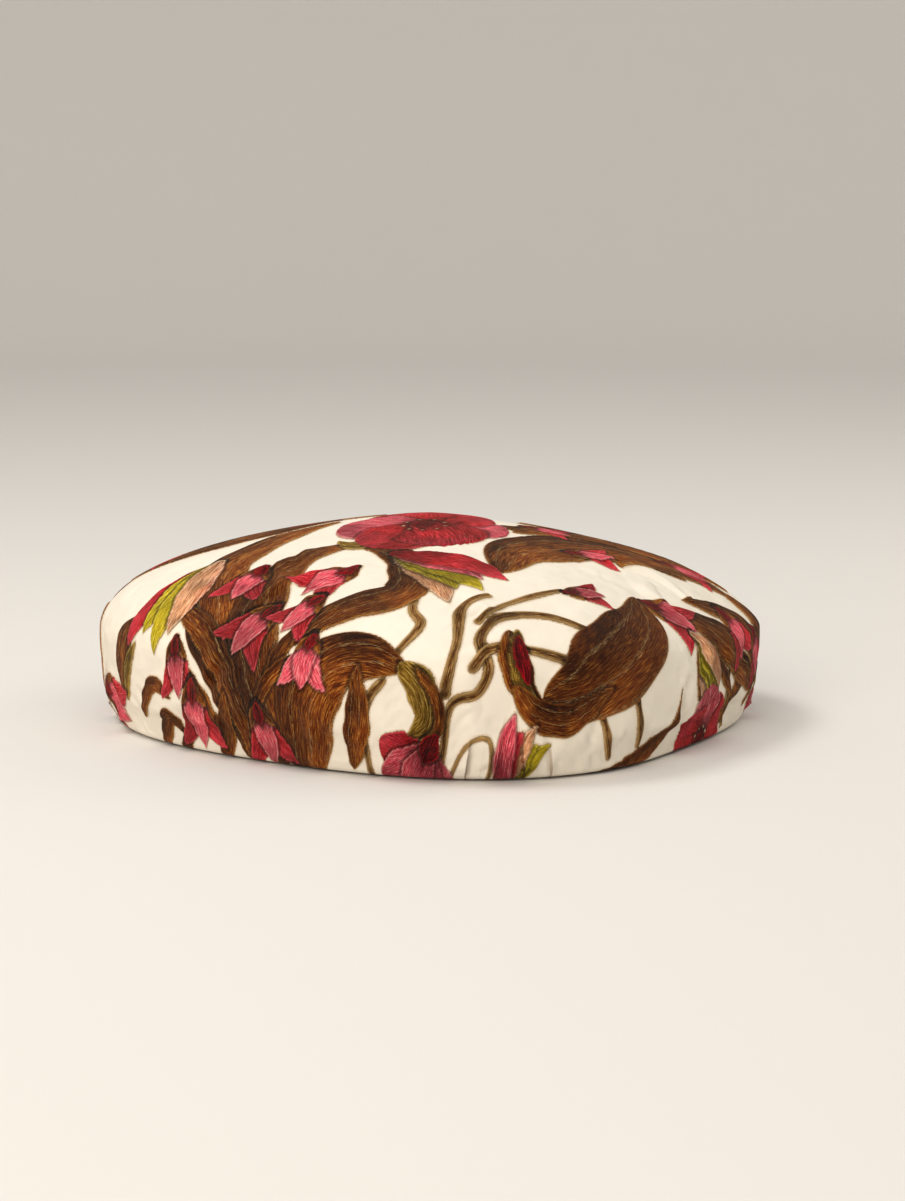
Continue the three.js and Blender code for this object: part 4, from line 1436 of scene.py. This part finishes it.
class SEATPAD_OT_stage(bpy.types.Operator):
    """Sets up the floor, the soft studio light and the camera"""

    bl_idname = "seatpad.stage"
    bl_label = "Stage"

    def execute(self, context):
        look = settings().studio
        self.floor(look)
        lamps = (
            ("overhead_soft_box", (-0.9, -0.7, 2.3), 0.9, look.key_power, "#FFFBF6"),
            ("ceiling", (0.0, 0.0, 4.6), 7.0, look.ceiling_power, "#FFFFFF"),
            ("front_fill", (0.7, -3.3, 1.6), 2.2, look.fill_power, "#FFF3E8"),
            ("rear_soft_light", (1.2, 1.6, 1.3), 1.2, look.rim_power, "#FFF8F0"),
        )
        for lamp in lamps:
            self.lamp(*lamp)
        world = bpy.data.worlds.new("studio")
        world.use_nodes = True
        background = world.node_tree.nodes["Background"]
        background.inputs["Color"].default_value = rgba("#ECEAE6")
        background.inputs["Strength"].default_value = look.world_strength
        context.scene.world = world
        context.scene.view_settings.view_transform = "Standard"
        self.camera(look)
        return {"FINISHED"}

    def floor(self, look):
        """A flat disc of backdrop paper that sweeps up far from the pad on every side."""
        flat, sweep, facets, spokes, rings = 3.4, 1.8, 24, 96, 9
        wall_top, gap = 3.0, 0.4 * MM
        bend = np.linspace(0, math.pi / 2, facets)
        radius = np.r_[MM, np.linspace(0.4, flat, rings - 1), flat + sweep * np.sin(bend[1:])]
        height = np.r_[np.zeros(rings), sweep * (1 - np.cos(bend[1:]))]
        radius, height = np.r_[radius, radius[-1]], np.r_[height, wall_top]
        turn = np.linspace(0, TAU, spokes)
        grid = np.stack([radius[:, None] * np.cos(turn), radius[:, None] * np.sin(turn),
                         np.repeat(height[:, None] - gap, spokes, 1)], -1)
        piece = grid_mesh("pale_floor", grid)
        # Seamless backdrop paper: plain, pale and matt.
        material, tree, shader = new_material("backdrop_paper", 0.9, specular=0.2)
        shader.inputs["Base Color"].default_value = rgba(look.floor_colour)
        piece.data.materials.append(material)

    def lamp(self, name, place, size, power, colour):
        """A round soft light that is aimed at the pad."""
        light = bpy.data.lights.new(name, "AREA")
        light.shape = "DISK"
        light.size = size
        light.energy = power
        light.color = linear(colour)
        middle_of_pad = Vector((0, 0, 0.08))
        self.aimed(placed(name, light), Vector(place), middle_of_pad - Vector(place))

    def aimed(self, piece, place, ahead):
        piece.location = place
        piece.rotation_euler = ahead.to_track_quat("-Z", "Y").to_euler()

    def camera(self, look):
        data = bpy.data.cameras.new("photographers_camera")
        data.lens = look.lens
        piece = placed("photographers_camera", data)
        ahead = Vector((-math.sin(look.azimuth) * math.cos(look.elevation),
                        math.cos(look.azimuth) * math.cos(look.elevation),
                        -math.sin(look.elevation)))
        self.aimed(piece, Vector(look.target) - ahead * look.distance, ahead)
        bpy.context.scene.camera = piece


class SEATPAD_PT_panel(bpy.types.Panel):
    """Lists the pad's pieces in the sidebar"""

    bl_label = "Seat Pad"
    bl_idname = "SEATPAD_PT_panel"
    bl_space_type = "VIEW_3D"
    bl_region_type = "UI"
    bl_category = "Seat Pad"

    def draw(self, context):
        for operator in OPERATORS:
            self.layout.operator(operator.bl_idname)


OPERATORS = (
    SEATPAD_OT_foam,
    SEATPAD_OT_lining_and_wadding,
    SEATPAD_OT_velvet_cover,
    SEATPAD_OT_webbing,
    SEATPAD_OT_dust_cover,
    SEATPAD_OT_timber_and_hardware,
    SEATPAD_OT_stage,
)
CLASSES = (PadShape, VelvetCloth, InnerMakeup, StudioLook, SeatPadSettings, *OPERATORS,
           SEATPAD_PT_panel)


def register():
    for cls in CLASSES:
        bpy.utils.register_class(cls)
    bpy.types.Scene.seat_pad = PointerProperty(type=SeatPadSettings)


def unregister():
    del bpy.types.Scene.seat_pad
    for cls in reversed(CLASSES):
        bpy.utils.unregister_class(cls)


def main():
    register()
    for operator in OPERATORS:
        group, name = operator.bl_idname.split(".")
        getattr(getattr(bpy.ops, group), name)()


if __name__ == "__main__":
    main()
